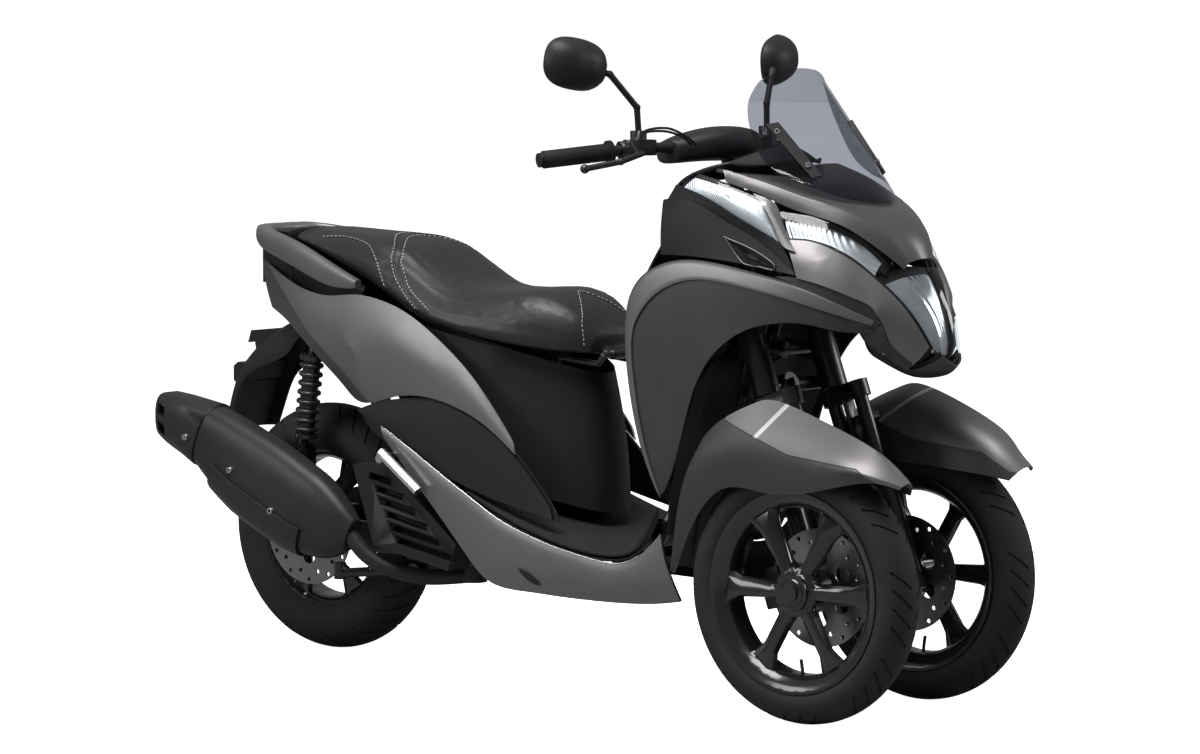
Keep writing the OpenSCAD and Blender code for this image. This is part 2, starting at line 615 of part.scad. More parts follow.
// Wheel pieces stand with the axle along Y and the wheel centre at the origin; the right side is -Y
module tyre(r, w, seat_d, half_rim) {
    seat_r = seat_d / 2;
    color([0.07, 0.07, 0.07]) rotate([90, 0, 0]) rotate_extrude($fn = 96) difference() {
        intersection() {
            translate([r - w / 2, 0]) circle(w / 2);
            polygon([[seat_r, -half_rim + 5], [seat_r + 14, -half_rim + 1], [seat_r + 34, -w / 2], [r, -w / 2],
                [r, w / 2], [seat_r + 34, w / 2], [seat_r + 14, half_rim - 1], [seat_r, half_rim - 5]]);
        }
        for (s = [-1, 1]) translate([seat_r - 1, s * half_rim - 4.7]) square([14, 9.4]);
    }
}

// Spoke loop at radius r: half breadth, half depth, middle along the axle and twist
function spoke_loop(r, b, d, y, a) = [for (p = [[1, 0.5], [0.5, 1], [-0.5, 1], [-1, 0.5], [-1, -0.5], [-0.5, -1], [0.5, -1], [1, -0.5]])
    [p[0] * b * cos(a) - p[1] * d * sin(a), y + p[0] * b * sin(a) + p[1] * d * cos(a), r]];

module rim(seat_d, half_rim, hub_in, hub_out) {
    r = seat_d / 2;
    h = half_rim;
    color([0.06, 0.06, 0.06]) difference() {
        union() {
            rotate([90, 0, 0]) rotate_extrude($fn = 96) polygon([
                [r + 12.7, -h - 4.5], [r + 12.7, -h + 4.4], [r - 0.3, -h + 4.4], [r - 4, -h + 12], [r - 14, -h + 20],
                [r - 14, h - 20], [r - 4, h - 12], [r - 0.3, h - 4.4], [r + 12.7, h - 4.4], [r + 12.7, h + 4.5],
                [r + 7, h + 4.5], [r - 8, h - 3], [r - 20, h - 18], [r - 20, -h + 18], [r - 8, -h + 3], [r + 7, -h - 4.5]]);
            across(0, 0, -hub_out, hub_in, 34);
            across(0, 0, -hub_out + 12, -hub_out + 24, 46);
            for (k = [0 : spoke_count - 1]) rotate([0, (k + 0.5) * 360 / spoke_count, 0]) skin([
                spoke_loop(26, 20, 18, -hub_out + 30, 0), spoke_loop(60, 15, 15, -hub_out + 26, 14),
                spoke_loop(r - 50, 19, 11, -h + 20, 24), spoke_loop(r - 17, 31, 11, -h + 22, 10)]);
        }
        across(0, 0, -hub_out - 1, hub_in + 1, axle_d / 2);
    }
}

module disc(d, y) {
    color([0.55, 0.55, 0.56]) difference() {
        across(0, 0, y - disc_t / 2, y + disc_t / 2, d / 2);
        across(0, 0, y - disc_t, y + disc_t, 34.3);
        for (k = [0 : 5]) rotate([0, k * 60 + 30, 0]) translate([57, 0, 0]) across(0, 0, y - disc_t, y + disc_t, 16);
        for (k = [0 : 11], s = [0, 1]) rotate([0, k * 30 + s * 15, 0]) translate([d / 2 - 10 - 14 * s, 0, 0])
            across(0, 0, y - disc_t, y + disc_t, 4.5);
    }
}

front_half_rim = front_tyre_w * 0.41;
rear_half_rim = rear_tyre_w * 0.35;
module at_front(side) {
    translate([front_axle_x, side * half_track, front_r]) children();
}
module at_rear() {
    translate([rear_axle_x, 0, rear_r]) children();
}
module tyre_fr() { at_front(-1) tyre(front_r, front_tyre_w, front_rim_d, front_half_rim); }
module rim_fr() { at_front(-1) rim(front_rim_d, front_half_rim, front_disc_y + 6, 42); }
module disc_fr() { at_front(-1) disc(front_disc_d, front_disc_y); }
module tyre_fl() { mirror([0, 1, 0]) tyre_fr(); }
module rim_fl() { mirror([0, 1, 0]) rim_fr(); }
module disc_fl() { mirror([0, 1, 0]) disc_fr(); }
module tyre_rear() { at_rear() tyre(rear_r, rear_tyre_w, rear_rim_d, rear_half_rim); }
module rim_rear() { at_rear() rim(rear_rim_d, rear_half_rim, 66, 88); }
module disc_rear() { at_rear() disc(rear_disc_d, rear_disc_y); }

axle_z = -fork_offset * tan(caster);
module fork_right() {
    color([0.1, 0.1, 0.1]) on_kingpin(-1) {
        union() {
            translate([0, 0, 345]) cylinder(d = kingpin_d, h = 147);
            translate([0, 0, 491]) cylinder(d = kingpin_d + 14, h = 9);
            translate([-16, -20, 342]) cube([fork_offset + fork_pitch / 2 + 16, 40, 30]);
            for (s = [-1, 1]) translate([fork_offset + s * fork_pitch / 2, 0, 0]) {
                translate([0, 0, 340]) cylinder(r = 21, h = 32);
                translate([0, 0, 150]) cylinder(r = 14, h = 200);
                translate([0, 0, -46]) cylinder(r = 19, h = 236);
            }
            translate([fork_offset - fork_pitch / 2, -15, axle_z - 26]) cube([fork_pitch, 30, 60]);
            translate([fork_offset, 16, axle_z]) rotate([90, 0, 0])
                cylinder(r = axle_d / 2 - run, h = 16 + kingpin_inset + 46);
            translate([fork_offset, -20, axle_z]) rotate([90, 0, 0])
                cylinder(r = axle_d / 2 + 4, h = kingpin_inset - front_disc_y - 30);
            translate([fork_offset, -kingpin_inset - 42.5, axle_z]) rotate([90, 0, 0])
                cylinder(r = 17, h = 8);
            difference() {
                translate([fork_offset - 122, front_disc_y - kingpin_inset - 16, axle_z - 8]) cube([48, 36, 74]);
                translate([fork_offset, front_disc_y - kingpin_inset + disc_t / 2 + 1.5, axle_z]) rotate([90, 0, 0])
                    cylinder(d = front_disc_d + 12, h = disc_t + 3);
            }
            translate([fork_offset - 90, -12, axle_z + 12]) cube([60, 16, 30]);
            translate([fork_offset - 4, -14, 262]) cube([8, 28, 80]);
            translate([fork_offset - 14, 46 - kingpin_inset, 296]) cube([50, kingpin_inset - 46, 12]);
        }
    }
}
module fork_left() { mirror([0, 1, 0]) fork_right(); }

// Fender rows from the low rear tip to the front: [flare edge, ridge, blade foot, crease, top, shoulder, inner edge]
// as [x from the axle, y inward from the wheel centre, z from the axle]
fender_rows = [
    [[-284, -30, 12], [-291, -34, 20], [-294, -28, 24], [-296, -14, 25], [-297, 8, 24], [-294, 28, 20], [-286, 38, 12]],
    [[-219, -50, 126], [-248, -56, 166], [-256, -50, 182], [-262, -34, 192], [-264, 6, 192], [-258, 34, 184], [-238, 50, 150]],
    [[-143, -58, 192], [-192, -62, 236], [-196, -52, 268], [-192, -42, 296], [-190, 4, 290], [-184, 38, 266], [-168, 54, 205]],
    [[-44, -63, 183], [-84, -67, 256], [-104, -54, 306], [-92, -44, 346], [-92, 2, 332], [-90, 41, 294], [-84, 56, 216]],
    [[34, -63, 188], [8, -67, 254], [-12, -54, 294], [-32, -43, 358], [-20, 0, 338], [-10, 42, 296], [0, 56, 214]],
    [[110, -60, 205], [105, -64, 243], [98, -50, 266], [94, -37, 314], [92, 0, 304], [90, 38, 274], [88, 54, 208]],
    [[190, -52, 220], [188, -56, 231], [186, -42, 242], [184, -22, 272], [182, 4, 264], [178, 30, 244], [170, 46, 200]],
    [[232, -26, 206], [236, -25, 212], [238, -16, 216], [238, -4, 218], [236, 8, 216], [230, 20, 208], [218, 32, 192]]];
fender_g = sheet([for (r = fender_rows) [for (p = r)
    [F(p[0]), p[1] - half_track, front_r + p[2] * front_r / 250]]], 2, 1);
fender_m = in_wall(fender_g, 6, 5, wall);
module fender_right() {
    color([0.3, 0.3, 0.31]) {
        shell(fender_g, wall);
        bar(fender_m, [fender_m[0], 46 - seat_gap - half_track, fender_m[2]], 8);
    }
}
module fender_left() { mirror([0, 1, 0]) fender_right(); }

// Closed loop of n points around c, half sizes a and b along the unit vectors e and f, squared by k
function oval(c, e, f, a, b, n, k) = [for (i = [0 : n - 1]) let (t = 360 * (i + 0.5) / n,
    u = cos(t), v = sin(t)) c + e * a * sign(u) * pow(abs(u), k) + f * b * sign(v) * pow(abs(v), k)];

// Arch liner rows from bottom to top: [edge ... middle] as [x, y, z], right half
liner_rows = [
    [[-322, -190, 330], [-326, -120, 318], [-330, -60, 312], [-332, 0, 310]],
    [[-312, -196, 420], [-318, -120, 420], [-322, -60, 420], [-324, 0, 420]],
    [[-282, -204, 520], [-294, -140, 540], [-296, -110, 550], [-298, 0, 552]],
    [[-236, -208, 630], [-256, -150, 650], [-265, -110, 660], [-267, 0, 664]]];
liner_g = sheet([for (r = rev(liner_rows)) whole([for (p = r) [F(p[0]), p[1], p[2]]])], 2, 2);
module arch_liner() {
    color([0.07, 0.07, 0.07]) difference() {
        shell(liner_g, wall);
        bar([F(-236), 0, 800], [F(-360), 0, 420], 25);
    }
}

module storage_box() {
    color([0.09, 0.09, 0.09]) {
        difference() {
            translate([0, box_w, 0]) rotate([90, 0, 0]) linear_extrude(2 * box_w)
                polygon([[R(335), 452], [R(570), 452], [R(570), S(-118)], [R(335), S(-71)]]);
            translate([0, box_w - wall, 0]) rotate([90, 0, 0]) linear_extrude(2 * box_w - 2 * wall)
                polygon([[R(335) + wall, 452 + wall], [R(570) - wall, 452 + wall], [R(570) - wall, S(0)],
                    [R(335) + wall, S(0)]]);
        }
        both() across(R(345), 504.6, -rail_y + rail_r + seat_gap, -box_w + 1, 9);
    }
}

// Grab rail loops along the rail, right half then left half
rail_line = [for (r = rail_rows) [R(r[0]), r[1], S(r[2])]];
rail_all = concat(rail_line, [for (i = [len(rail_line) - 2 : -1 : 0]) [rail_line[i][0], -rail_line[i][1], rail_line[i][2]]]);
rail_size = concat(rail_rows, [for (i = [len(rail_rows) - 2 : -1 : 0]) rail_rows[i]]);
rail_n = len(rail_all) - 1;
rail_fine = curve(rail_all, 2);
rail_half = curve([for (r = rail_size) [r[3], r[4]]], 2);
rail_loops = [for (i = [0 : len(rail_fine) - 1]) let (
    t = unit(rail_fine[min(i + 1, len(rail_fine) - 1)] - rail_fine[max(i - 1, 0)]),
    n = unit([t[1], -t[0], 0])) oval(rail_fine[i], n, cross(t, n), rail_half[i][1], rail_half[i][0], 10, 0.6)];
module grab_rail() {
    color([0.33, 0.34, 0.34]) {
        difference() {
            skin(rail_loops);
            both() translate([R(-148), -rack_pitch / 2, S(0)]) {
                cylinder(r = rack_hole_r, h = 200);
                translate([0, 0, 101]) cylinder(r = 9, h = 50);
            }
        }
        both() {
            bar([R(-84), -50, S(-25) + seat_gap], [R(-84), -50, S(60)], 8);
            bar([R(-84), -50, S(54)], [R(-140), -60, S(80)], 7);
        }
    }
}

// Tray under the rear of the seat: [x, half width, low height, top height] from rear to front
tray_rows = [[-44, 84, -24, 58], [20, 100, -42, 50], [100, 112, -56, 22], [186, 122, -66, -10]];
tray_g = sheet([for (r = tray_rows) whole([for (k = [[1, 0], [1, 0.8], [0.9, 1], [0, 1]])
    [R(r[0]), -r[1] * k[0], S(r[2] + k[1] * (r[3] - r[2]))]])], 2, 1);
module tail_tray() {
    color([0.08, 0.08, 0.08]) {
        shell(tray_g, wall);
        skin([for (r = [[-106, 58, 82, 92], [-100, 64, 78, 97], [-70, 82, 76, 99], [-50, 86, 76, 97]])
            [for (k = [[0, 1.06], [-0.8, 1], [-1, 0.7], [-0.97, 0], [0, -0.06], [0.97, 0], [1, 0.7], [0.8, 1]])
                [R(r[0]), r[1] * k[0], S(r[2] + k[1] * (r[3] - r[2]))]]]);
        bar([R(-62), 0, S(-24) + seat_gap], [R(-62), 0, S(84)], 9);
        both() bar([R(40), -98, S(-54.2)], [R(40), -98, S(-20)], 5);
    }
}

// Tail lamp rows from bottom to top: [edge ... middle] as [x, y, height from the seat], right half
lamp_tail_rows = [
    [[-104, -70, -44], [-124, -40, -44], [-132, 0, -44]],
    [[-118, -78, -6], [-140, -44, -6], [-148, 0, -6]],
    [[-124, -76, 30], [-144, -42, 36], [-152, 0, 38]],
    [[-122, -70, 56], [-144, -38, 64], [-152, 0, 68]]];
lamp_tail_g = sheet([for (r = lamp_tail_rows) whole([for (p = r) [R(p[0]), p[1], S(p[2])]])], 2, 2);
module tail_lamp() {
    color([0.5, 0.05, 0.05]) {
        shell(lamp_tail_g, wall);
        bar([R(-137), 0, S(-33)], [R(-91) - seat_gap, 0, S(-33)], 7);
    }
}

// Rear fender stations from under the tail down to the rear, heights from the seat:
// [crown x, crown height, lip x, lip height, half width]
rear_rows = [
    [-10, -83, 0, -113, 68], [-50, -87, -40, -127, 72], [-100, -109, -66, -165, 75], [-172, -155, -143, -194, 77],
    [-214, -211, -188, -223, 77], [-240, -273, -212, -277, 75], [-256, -331, -230, -331, 70]];
rear_g = sheet([for (r = rear_rows) whole([
    for (k = [[1, 0], [0.98, 0.5], [0.72, 0.94], [0, 1]])
        [R(r[2] + k[1] * (r[0] - r[2])), -r[4] * k[0], S(r[3] + k[1] * (r[1] - r[3]))]])], 2, 2);
// Side profiles of the lamp hood and the plate bracket on the rear fender, as [x, height from the seat]
hood_p = [[-112, -125], [-106, -113], [-198, -121], [-207, -147], [-187, -145], [-182, -171]];
bracket_p = [[-194, -189], [-216, -187], [-228, -196], [-228, -226], [-220, -232], [-208, -226]];
module on_fender(p, half) {
    rotate([90, 0, 0]) translate([0, 0, -half]) linear_extrude(2 * half) polygon([for (q = p) [R(q[0]), S(q[1])]]);
}
module rear_fender() {
    color([0.08, 0.08, 0.08]) {
        bar([R(-60), 0, S(-93)], [R(-60), 0, fender_seat_z - seat_gap], 10);
        on_fender(hood_p, 44);
        difference() {
            union() {
                shell(rear_g, wall);
                on_fender(bracket_p, plate_pitch / 2 + 11);
            }
            for (s = [-1, 1]) translate([R(-238), s * plate_pitch / 2, plate_z]) rotate([0, 90, 0])
                cylinder(r = plate_hole_r, h = 48);
        }
    }
}

module engine_unit() {
    color([0.16, 0.16, 0.17]) difference() {
        union() {
            translate([R(278), -92.7, 215]) cube([R(530) - 12 - seat_gap - R(278), 168, 212]);
            across(R(366), 292, 70, 150, 78);
            across(R(0), rear_r + 4, 79, 150, 70);
            translate([0, 150, 0]) rotate([90, 0, 0]) linear_extrude(70)
                polygon([[R(0), 214], [R(400), 216], [R(400), 380], [R(0), 328]]);
            across(R(20), 340, 84, 110, 22);
            translate([R(5), 88, 330]) cube([20, 14, 90]);
            across(R(15), shock_low[1], 88, 102, 14);
            across(R(15), shock_low[1], 88, 126, 7 - seat_gap);
            both() translate([stand_p[0] - 12, -58, stand_p[2] - 6]) cube([24, 24, 40]);
            across(stand_p[0], stand_p[2], -92, 92, hinge_r + 2);
        }
        across(R(0), rear_r, 70, 85, axle_d / 2 + seat_gap);
    }
}

// Radiator guard outline on the right of the engine as [x, z]
guard_line = [[214, 412], [300, 418], [490, 271], [467, 215], [269, 253]];
module radiator_guard() {
    color([0.1, 0.1, 0.1]) difference() {
        union() {
            translate([0, -120, 0]) rotate([90, 0, 0]) linear_extrude(66)
                polygon([for (p = guard_line) [R(p[0]), p[1]]]);
            across(R(400), 300, -124, -93, 16);
        }
        for (k = [0 : 5]) translate([R(258 + k * 14), -190, 385 - k * 25]) rotate([0, 10, 0])
            cube([60 + k * 18, 26, 15]);
    }
}

// Muffler stations along its axis from the nose: [place, half height part, half width part]
muffler_rows = [
    [0, 0, 35, 0.42], [37, -9, 64, 0.7], [100, -7, 85, 0.9], [150, -8, 91, 0.97], [230, -4, 93, 1],
    [300, -2, 90, 1], [370, 6, 81, 0.98], [430, 15.5, 67, 0.94]];
muffler_tilt = 22.8;
// Lean of the end cap that stands its rear face upright
cap_rake = tan(muffler_tilt);
muffler_y = -196;
muffler_nose = [R(222), muffler_y, 268];
module on_muffler() {
    translate(muffler_nose) rotate([0, muffler_tilt, 0]) rotate([0, 0, 180]) children();
}
// Loop of the muffler at u along its axis: middle height, half height, share of the half width, rake and extra
function muffler_loop(u, c, h, w, rake, extra) = [for (p = oval([u, 0, c], [0, 1, 0], [0, 0, 1],
    w * muffler_w / 2 + extra, h * muffler_h / 186 + extra, 20, 0.72)) p + [rake * (p[2] - c), 0, 0]];
module muffler() {
    color([0.2, 0.2, 0.2]) {
        difference() {
            union() {
                on_muffler() skin([for (r = curve(muffler_rows, 2)) muffler_loop(r[0], r[1], r[2], r[3], 0, 0)]);
                across(R(15), 356, muffler_y, -106 - seat_gap, 10);
            }
        }
        skin(pipe(curve([[R(216), -196, 270], [R(262), -180, 220], [R(340), -130, 188], [R(424), -66, 192]], 3), 17, 14));
        translate([R(430), -60, 178]) cylinder(r = 26, h = 36.6);
    }
}
module muffler_trim() {
    color([0.17, 0.17, 0.17]) {
        on_muffler() difference() {
            skin([for (r = [[430.4, 15.5, 69, 0.96, 0, 2], [488, 8, 57, 0.92, cap_rake, 2],
                [540, 2, 50, 0.84, cap_rake, 1], [561.3, -2, 44, 0.74, cap_rake, 0]])
                muffler_loop(r[0], r[1], r[2], r[3], r[4], r[5])]);
            for (z = [-28, 6]) multmatrix([[1, 0, cap_rake, 0], [0, 1, 0, 0], [0, 0, 1, 0], [0, 0, 0, 1]])
                translate([528, -100, z]) cube([24, 200, 22]);
        }
        on_muffler() shell([for (r = curve([for (i = [2 : 6]) muffler_rows[i]], 2))
            let (l = muffler_loop(r[0], r[1], r[2], r[3], 0, 5.6)) [for (j = [19 : -1 : 12]) l[j]]], 4);
    }
}

module shock() {
    bar([shock_low[0], -115, shock_low[1] + 10], [shock_top[0], -115, shock_top[1] - 10], 9);
    v = [shock_top[0] - shock_low[0], 0, shock_top[1] - shock_low[1]];
    reach = norm(v);
    translate([shock_low[0], -115, shock_low[1]]) rotate([0, atan2(v[0], v[2]), 0]) {
        translate([0, 0, 36]) cylinder(r = 18, h = reach - 77);
        translate([0, 0, 30]) cylinder(r = 26, h = 8);
        translate([0, 0, reach - 45]) cylinder(r = 26, h = 10);
        for (k = [0 : 7]) translate([0, 0, 48 + k * (reach - 104) / 7]) rotate_extrude() translate([20, 0]) circle(5, $fn = 16);
    }
}
module rear_shocks() {
    color([0.08, 0.08, 0.08]) both() difference() {
        union() {
            shock();
            for (e = [shock_top, shock_low]) across(e[0], e[1], -124, -106.3, 14);
        }
        for (e = [shock_top, shock_low]) across(e[0], e[1], -140, -90, 7);
    }
}

module rear_arm() {
    color([0.14, 0.14, 0.14]) {
        difference() {
            union() {
                translate([R(-34), -113, 226]) cube([364, 20, 60]);
                across(R(0), rear_r, -120, 85, axle_d / 2 - run);
                across(R(0), rear_r, -122, -93, 30);
                translate([R(0), -106, 280]) cube([30, 13, 140]);
                across(R(15), shock_low[1], -106, -93, 15);
                across(R(15), shock_low[1], -126, -93, 7 - seat_gap);
                translate([R(84), -112, rear_r - 20]) cube([44, 42.5, 80]);
            }
            across(R(0), rear_r, rear_disc_y - disc_t / 2 - 1.5, rear_disc_y + disc_t / 2 + 1.5, rear_disc_d / 2 + 6);
            across(R(0), rear_r, -90, 0, 50);
        }
        across(R(0), rear_r, -112, 78.7, axle_d / 2 - run);
    }
}

module passenger_pegs() {
    color([0.6, 0.6, 0.6]) both() {
        bar([R(312), -210, 444], [R(412), -210, 372], 11);
        across(R(312), 432, -216, boss_rear, 9);
    }
}

// Handlebar line on the right from the clamp to the end
bar_p = [[bar_x - 4, -60, bar_height + 2], [bar_x - 57, -190, bar_height + 3],
    [bar_x - 146, -bar_w + 6, bar_height - 16]];
bar_dir = unit(bar_p[2] - bar_p[1]);
// Point at distance s along the outer straight of the right bar
function on_bar(s) = bar_p[1] + bar_dir * s;
module handlebar() {
    color([0.1, 0.1, 0.1]) {
        both() {
            tube(bar_p, bar_d / 2);
            ball(bar_p[0], unit(bar_p[1] - bar_p[0]), bar_d * 0.6);
        }
        across(bar_p[0][0], bar_p[0][2], -54, 54, bar_d / 2);
        bar(column(-5 - stem_len, 0, 0), column(0, 0, 0), 14);
        bar(column(-12, 0, 0), column(16, 0, 0), 22);
    }
}
module grips() {
    color([0.05, 0.05, 0.05]) both() difference() {
        union() {
            bar(on_bar(62), on_bar(204), grip_d / 2);
            bar(on_bar(62), on_bar(70), grip_d / 2 + 5);
            bar(on_bar(206), on_bar(214), grip_d / 2 - 3);
            bar(on_bar(200), on_bar(208), grip_d / 2 - 5);
        }
        bar(bar_p[1], bar_p[2] + bar_dir * seat_gap, bar_d / 2 + seat_gap);
    }
}
// Bar cover loops across: [y, x from the clamp, z from the clamp, half length, half height]
cover_bar_rows = [[-132, -38, -6, 26, 22], [-104, -26, 0, 40, 27], [-55, -4, 8, 52, 32], [0, 2, 10, 56, 34]];
module bar_cover() {
    half = [for (r = cover_bar_rows) oval([bar_x + r[1], r[0], bar_height + r[2]], [0, 0, 1], [1, 0, 0], r[4], r[3], 16, 0.7)];
    loops = concat(half, [for (i = [len(half) - 2 : -1 : 0]) [for (p = half[i]) [p[0], -p[1], p[2]]]]);
    color([0.07, 0.07, 0.07]) difference() {
        skin(loops);
        both() {
            tube(bar_p, bar_d / 2 + seat_gap);
            ball(bar_p[0], unit(bar_p[1] - bar_p[0]), bar_d * 0.6 + seat_gap);
        }
        across(bar_p[0][0], bar_p[0][2], -54, 54, bar_d / 2 + seat_gap);
        bar(column(-60, 0, 0), column(0, 0, 0), 14 + seat_gap);
        bar(column(-12 - seat_gap, 0, 0), column(16 + seat_gap, 0, 0), 22 + seat_gap);
    }
}
module brake_controls() {
    color([0.3, 0.3, 0.3]) both() difference() {
        union() {
            bar(on_bar(12), on_bar(44), 18);
            translate(on_bar(24)) translate([18, 10, 4]) rotate([0, 0, 64]) cube([56, 30, 30], center = true);
            translate(on_bar(24) + [16, 8, 0]) cylinder(r = 16, h = 36);
            tube([on_bar(24) + [34, 0, -6], on_bar(80) + [44, 0, -16], on_bar(152) + [40, 0, -22]], 6);
            ball(on_bar(152) + [40, 0, -22], bar_dir, 9);
        }
        bar(bar_p[1] - bar_dir * 20, bar_p[2], bar_d / 2 + seat_gap);
        tube(bar_p, bar_d / 2 + seat_gap);
    }
}
mirror_c = [bar_x - 108, -319, bar_height + 164];
module mirrors() {
    color([0.07, 0.07, 0.07]) both() {
        tube([on_bar(24) + [16, 8, 36 + seat_gap], on_bar(24) + [14, 6, 80], mirror_c + [30, 62, -20], mirror_c + [4, 20, -6]], 6);
        translate(mirror_c) rotate([0, 0, -17]) rotate([-10, 0, 0]) skin([for (r = [[-16, 66, 46], [-10, 70, 50], [4, 67, 47], [20, 54, 37], [30, 36, 24], [34, 18, 12]])
            oval([r[0], 0, 0], [0, 1, 0], [0, 0, 1], r[1], r[2], 20, 0.75)]);
    }
}

// Seat loop at a station: bottom, side roll and crown
seat_half = [[0, 1], [-0.4, 0.985], [-0.72, 0.93], [-0.9, 0.78], [-0.98, 0.52], [-1, 0.2], [-0.96, 0.02], [-0.6, 0]];
function seat_loop(r) = let (hw = r[1] * seat_w / 162, lo = S(r[2]), h = r[3] - r[2],
    right = [for (p = seat_half) [R(r[0]), p[0] * hw, lo + p[1] * h]])
    concat(right, [[R(r[0]), 0, lo]], [for (i = [7 : -1 : 1]) [right[i][0], -right[i][1], right[i][2]]]);
module seat() {
    color([0.06, 0.06, 0.06]) difference() {
        union() {
            skin([for (r = curve(seat_rows, 2)) seat_loop(r)]);
            across(hinge_p[0], hinge_p[2], -40, 40, hinge_r + 5);
            translate([R(728), -40, hinge_p[2] - 2]) cube([hinge_p[0] - R(728), 80, 9]);
        }
        across(hinge_p[0], hinge_p[2], -50, 50, hinge_r + run);
    }
}

module centre_stand() {
    color([0.1, 0.1, 0.1]) difference() {
        union() {
            both() {
                across(stand_p[0], stand_p[2], -90, -64, 15);
                tube([[stand_p[0], -78, stand_p[2]], [stand_p[0] - 110, -96, stand_p[2] - 10], [stand_p[0] - 176, -116, stand_p[2] - 16]], 10);
                bar([stand_p[0] - 176, -116, stand_p[2] - 28], [stand_p[0] - 176, -116, stand_p[2] + 6], 13);
            }
            across(stand_p[0] - 28, stand_p[2] - 14, -80, 80, 8);
        }
        across(stand_p[0], stand_p[2], -100, 100, hinge_r + 2 + run);
        both() translate([stand_p[0] - 14, -61, stand_p[2] - 14]) cube([40, 30, 40]);
    }
}

module side_stand() {
    color([0.1, 0.1, 0.1]) difference() {
        union() {
            bar(side_p - side_u * 10, side_p + side_u * 10, 13);
            bar(side_p, side_p + [-190, 0, 0], 9);
            bar(side_p + [-190, 0, 0] - side_u * 12, side_p + [-190, 0, 0] + side_u * 14, 12);
        }
        bar(side_p - side_u * 20, side_p + side_u * 20, hinge_r + run);
    }
}

main_frame();
front_linkage();
front_cowl();
cowl_flanks();
headlight();
front_signals();
chin_cover();
windscreen();
dash_panel();
intake_panels();
leg_shields();
arch_liner();
inner_shield();
floor_panel();
side_skirts();
storage_box();
body_cover();
side_covers();
tail_panels();
grab_rail();
tail_tray();
tail_lamp();
rear_fender();
engine_unit();
radiator_guard();
muffler();
muffler_trim();
rear_shocks();
rear_arm();
passenger_pegs();
handlebar();
bar_cover();
grips();
brake_controls();
mirrors();
fork_right();
fork_left();
fender_right();
fender_left();
tyre_fr();
rim_fr();
disc_fr();
tyre_fl();
rim_fl();
disc_fl();
tyre_rear();
rim_rear();
disc_rear();
seat();
centre_stand();
side_stand();
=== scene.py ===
# %% [markdown]
# A leaning three-wheel scooter, dressed for its portrait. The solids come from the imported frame, in
# metres, and stay where they are. This lesson copies each shell, smooths it, gives it a finish, and adds
# the small pieces that make a machine believable: tread, reflectors, stitching, bolts and cables.

# %% Load the frame
import json
import math

import bpy
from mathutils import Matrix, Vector

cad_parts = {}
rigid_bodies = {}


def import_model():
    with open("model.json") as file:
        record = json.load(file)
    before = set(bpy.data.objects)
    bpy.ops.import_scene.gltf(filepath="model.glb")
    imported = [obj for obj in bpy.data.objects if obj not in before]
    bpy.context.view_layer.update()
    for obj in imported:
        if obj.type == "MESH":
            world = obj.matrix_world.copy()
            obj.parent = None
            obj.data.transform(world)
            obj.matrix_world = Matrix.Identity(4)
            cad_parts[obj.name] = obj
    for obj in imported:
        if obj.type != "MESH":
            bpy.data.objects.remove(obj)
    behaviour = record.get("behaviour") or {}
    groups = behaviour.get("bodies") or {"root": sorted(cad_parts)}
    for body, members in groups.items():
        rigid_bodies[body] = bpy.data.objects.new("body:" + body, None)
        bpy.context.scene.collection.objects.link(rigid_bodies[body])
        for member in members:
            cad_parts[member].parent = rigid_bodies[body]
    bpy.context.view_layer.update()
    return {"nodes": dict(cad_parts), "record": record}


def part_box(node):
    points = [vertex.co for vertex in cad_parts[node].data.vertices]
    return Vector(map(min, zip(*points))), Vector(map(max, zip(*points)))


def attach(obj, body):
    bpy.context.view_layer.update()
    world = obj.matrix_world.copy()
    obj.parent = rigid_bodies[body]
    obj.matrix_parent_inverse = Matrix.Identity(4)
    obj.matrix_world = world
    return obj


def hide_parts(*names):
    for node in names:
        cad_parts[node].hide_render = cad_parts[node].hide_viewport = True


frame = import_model()
body_of = {n: b for b, nodes in frame["record"]["behaviour"]["bodies"].items() for n in nodes}
slot_of = {p["node"]: p["material_slot"] for p in frame["record"]["subparts"]}

# %% [markdown]
# A few small habits serve every step. An operator acts on all that is selected, so `only` clears the
# selection first. `edit` opens edit mode with everything or nothing picked, and `done` closes it. `apply`
# adds a modifier and applies it at once, so that the finished mesh is plain. `smooth` shades by angle, and
# `settle` names the piece, gives it its finishes and hands it to its body.

# %% Selection, edit mode, modifiers and hand-over
def only(*pieces):
    bpy.ops.object.select_all(action="DESELECT")
    for piece in pieces:
        piece.select_set(True)
    bpy.context.view_layer.objects.active = pieces[0]


def edit(piece, pick="SELECT", mode="VERT"):
    only(piece)
    bpy.ops.object.mode_set(mode="EDIT")
    bpy.ops.mesh.select_mode(type=mode)
    bpy.ops.mesh.select_all(action=pick)


def done():
    bpy.ops.object.mode_set(mode="OBJECT")
    return bpy.context.object


def apply(piece, kind, **values):
    only(piece)
    modifier = piece.modifiers.new(kind.title(), kind)
    for key, value in values.items():
        setattr(modifier, key, value)
    bpy.ops.object.modifier_apply(modifier=modifier.name)


def smooth(piece, angle=32):
    only(piece)
    bpy.ops.object.shade_smooth_by_angle(angle=math.radians(angle))


def settle(piece, name, body, slot, *materials):
    piece.name = name
    piece.data.name = name
    only(piece)
    bpy.ops.object.transform_apply(location=True, rotation=True, scale=True)
    for k, material in enumerate(materials):
        if k < len(piece.data.materials):
            piece.data.materials[k] = material
        else:
            piece.data.materials.append(material)
    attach(piece, body)
    return piece


# %% [markdown]
# Every finish is built from nodes on Object coordinates, because the pieces carry their place in their
# mesh and a pattern must not slide. One recipe covers paint, plastic, rubber and metal: a broad noise
# shifts the colour a little, as dust and handling do, and the roughness with it, and a fine one raises a
# bump at the real scale of the grain. What is the same all over is set on the shader's socket.

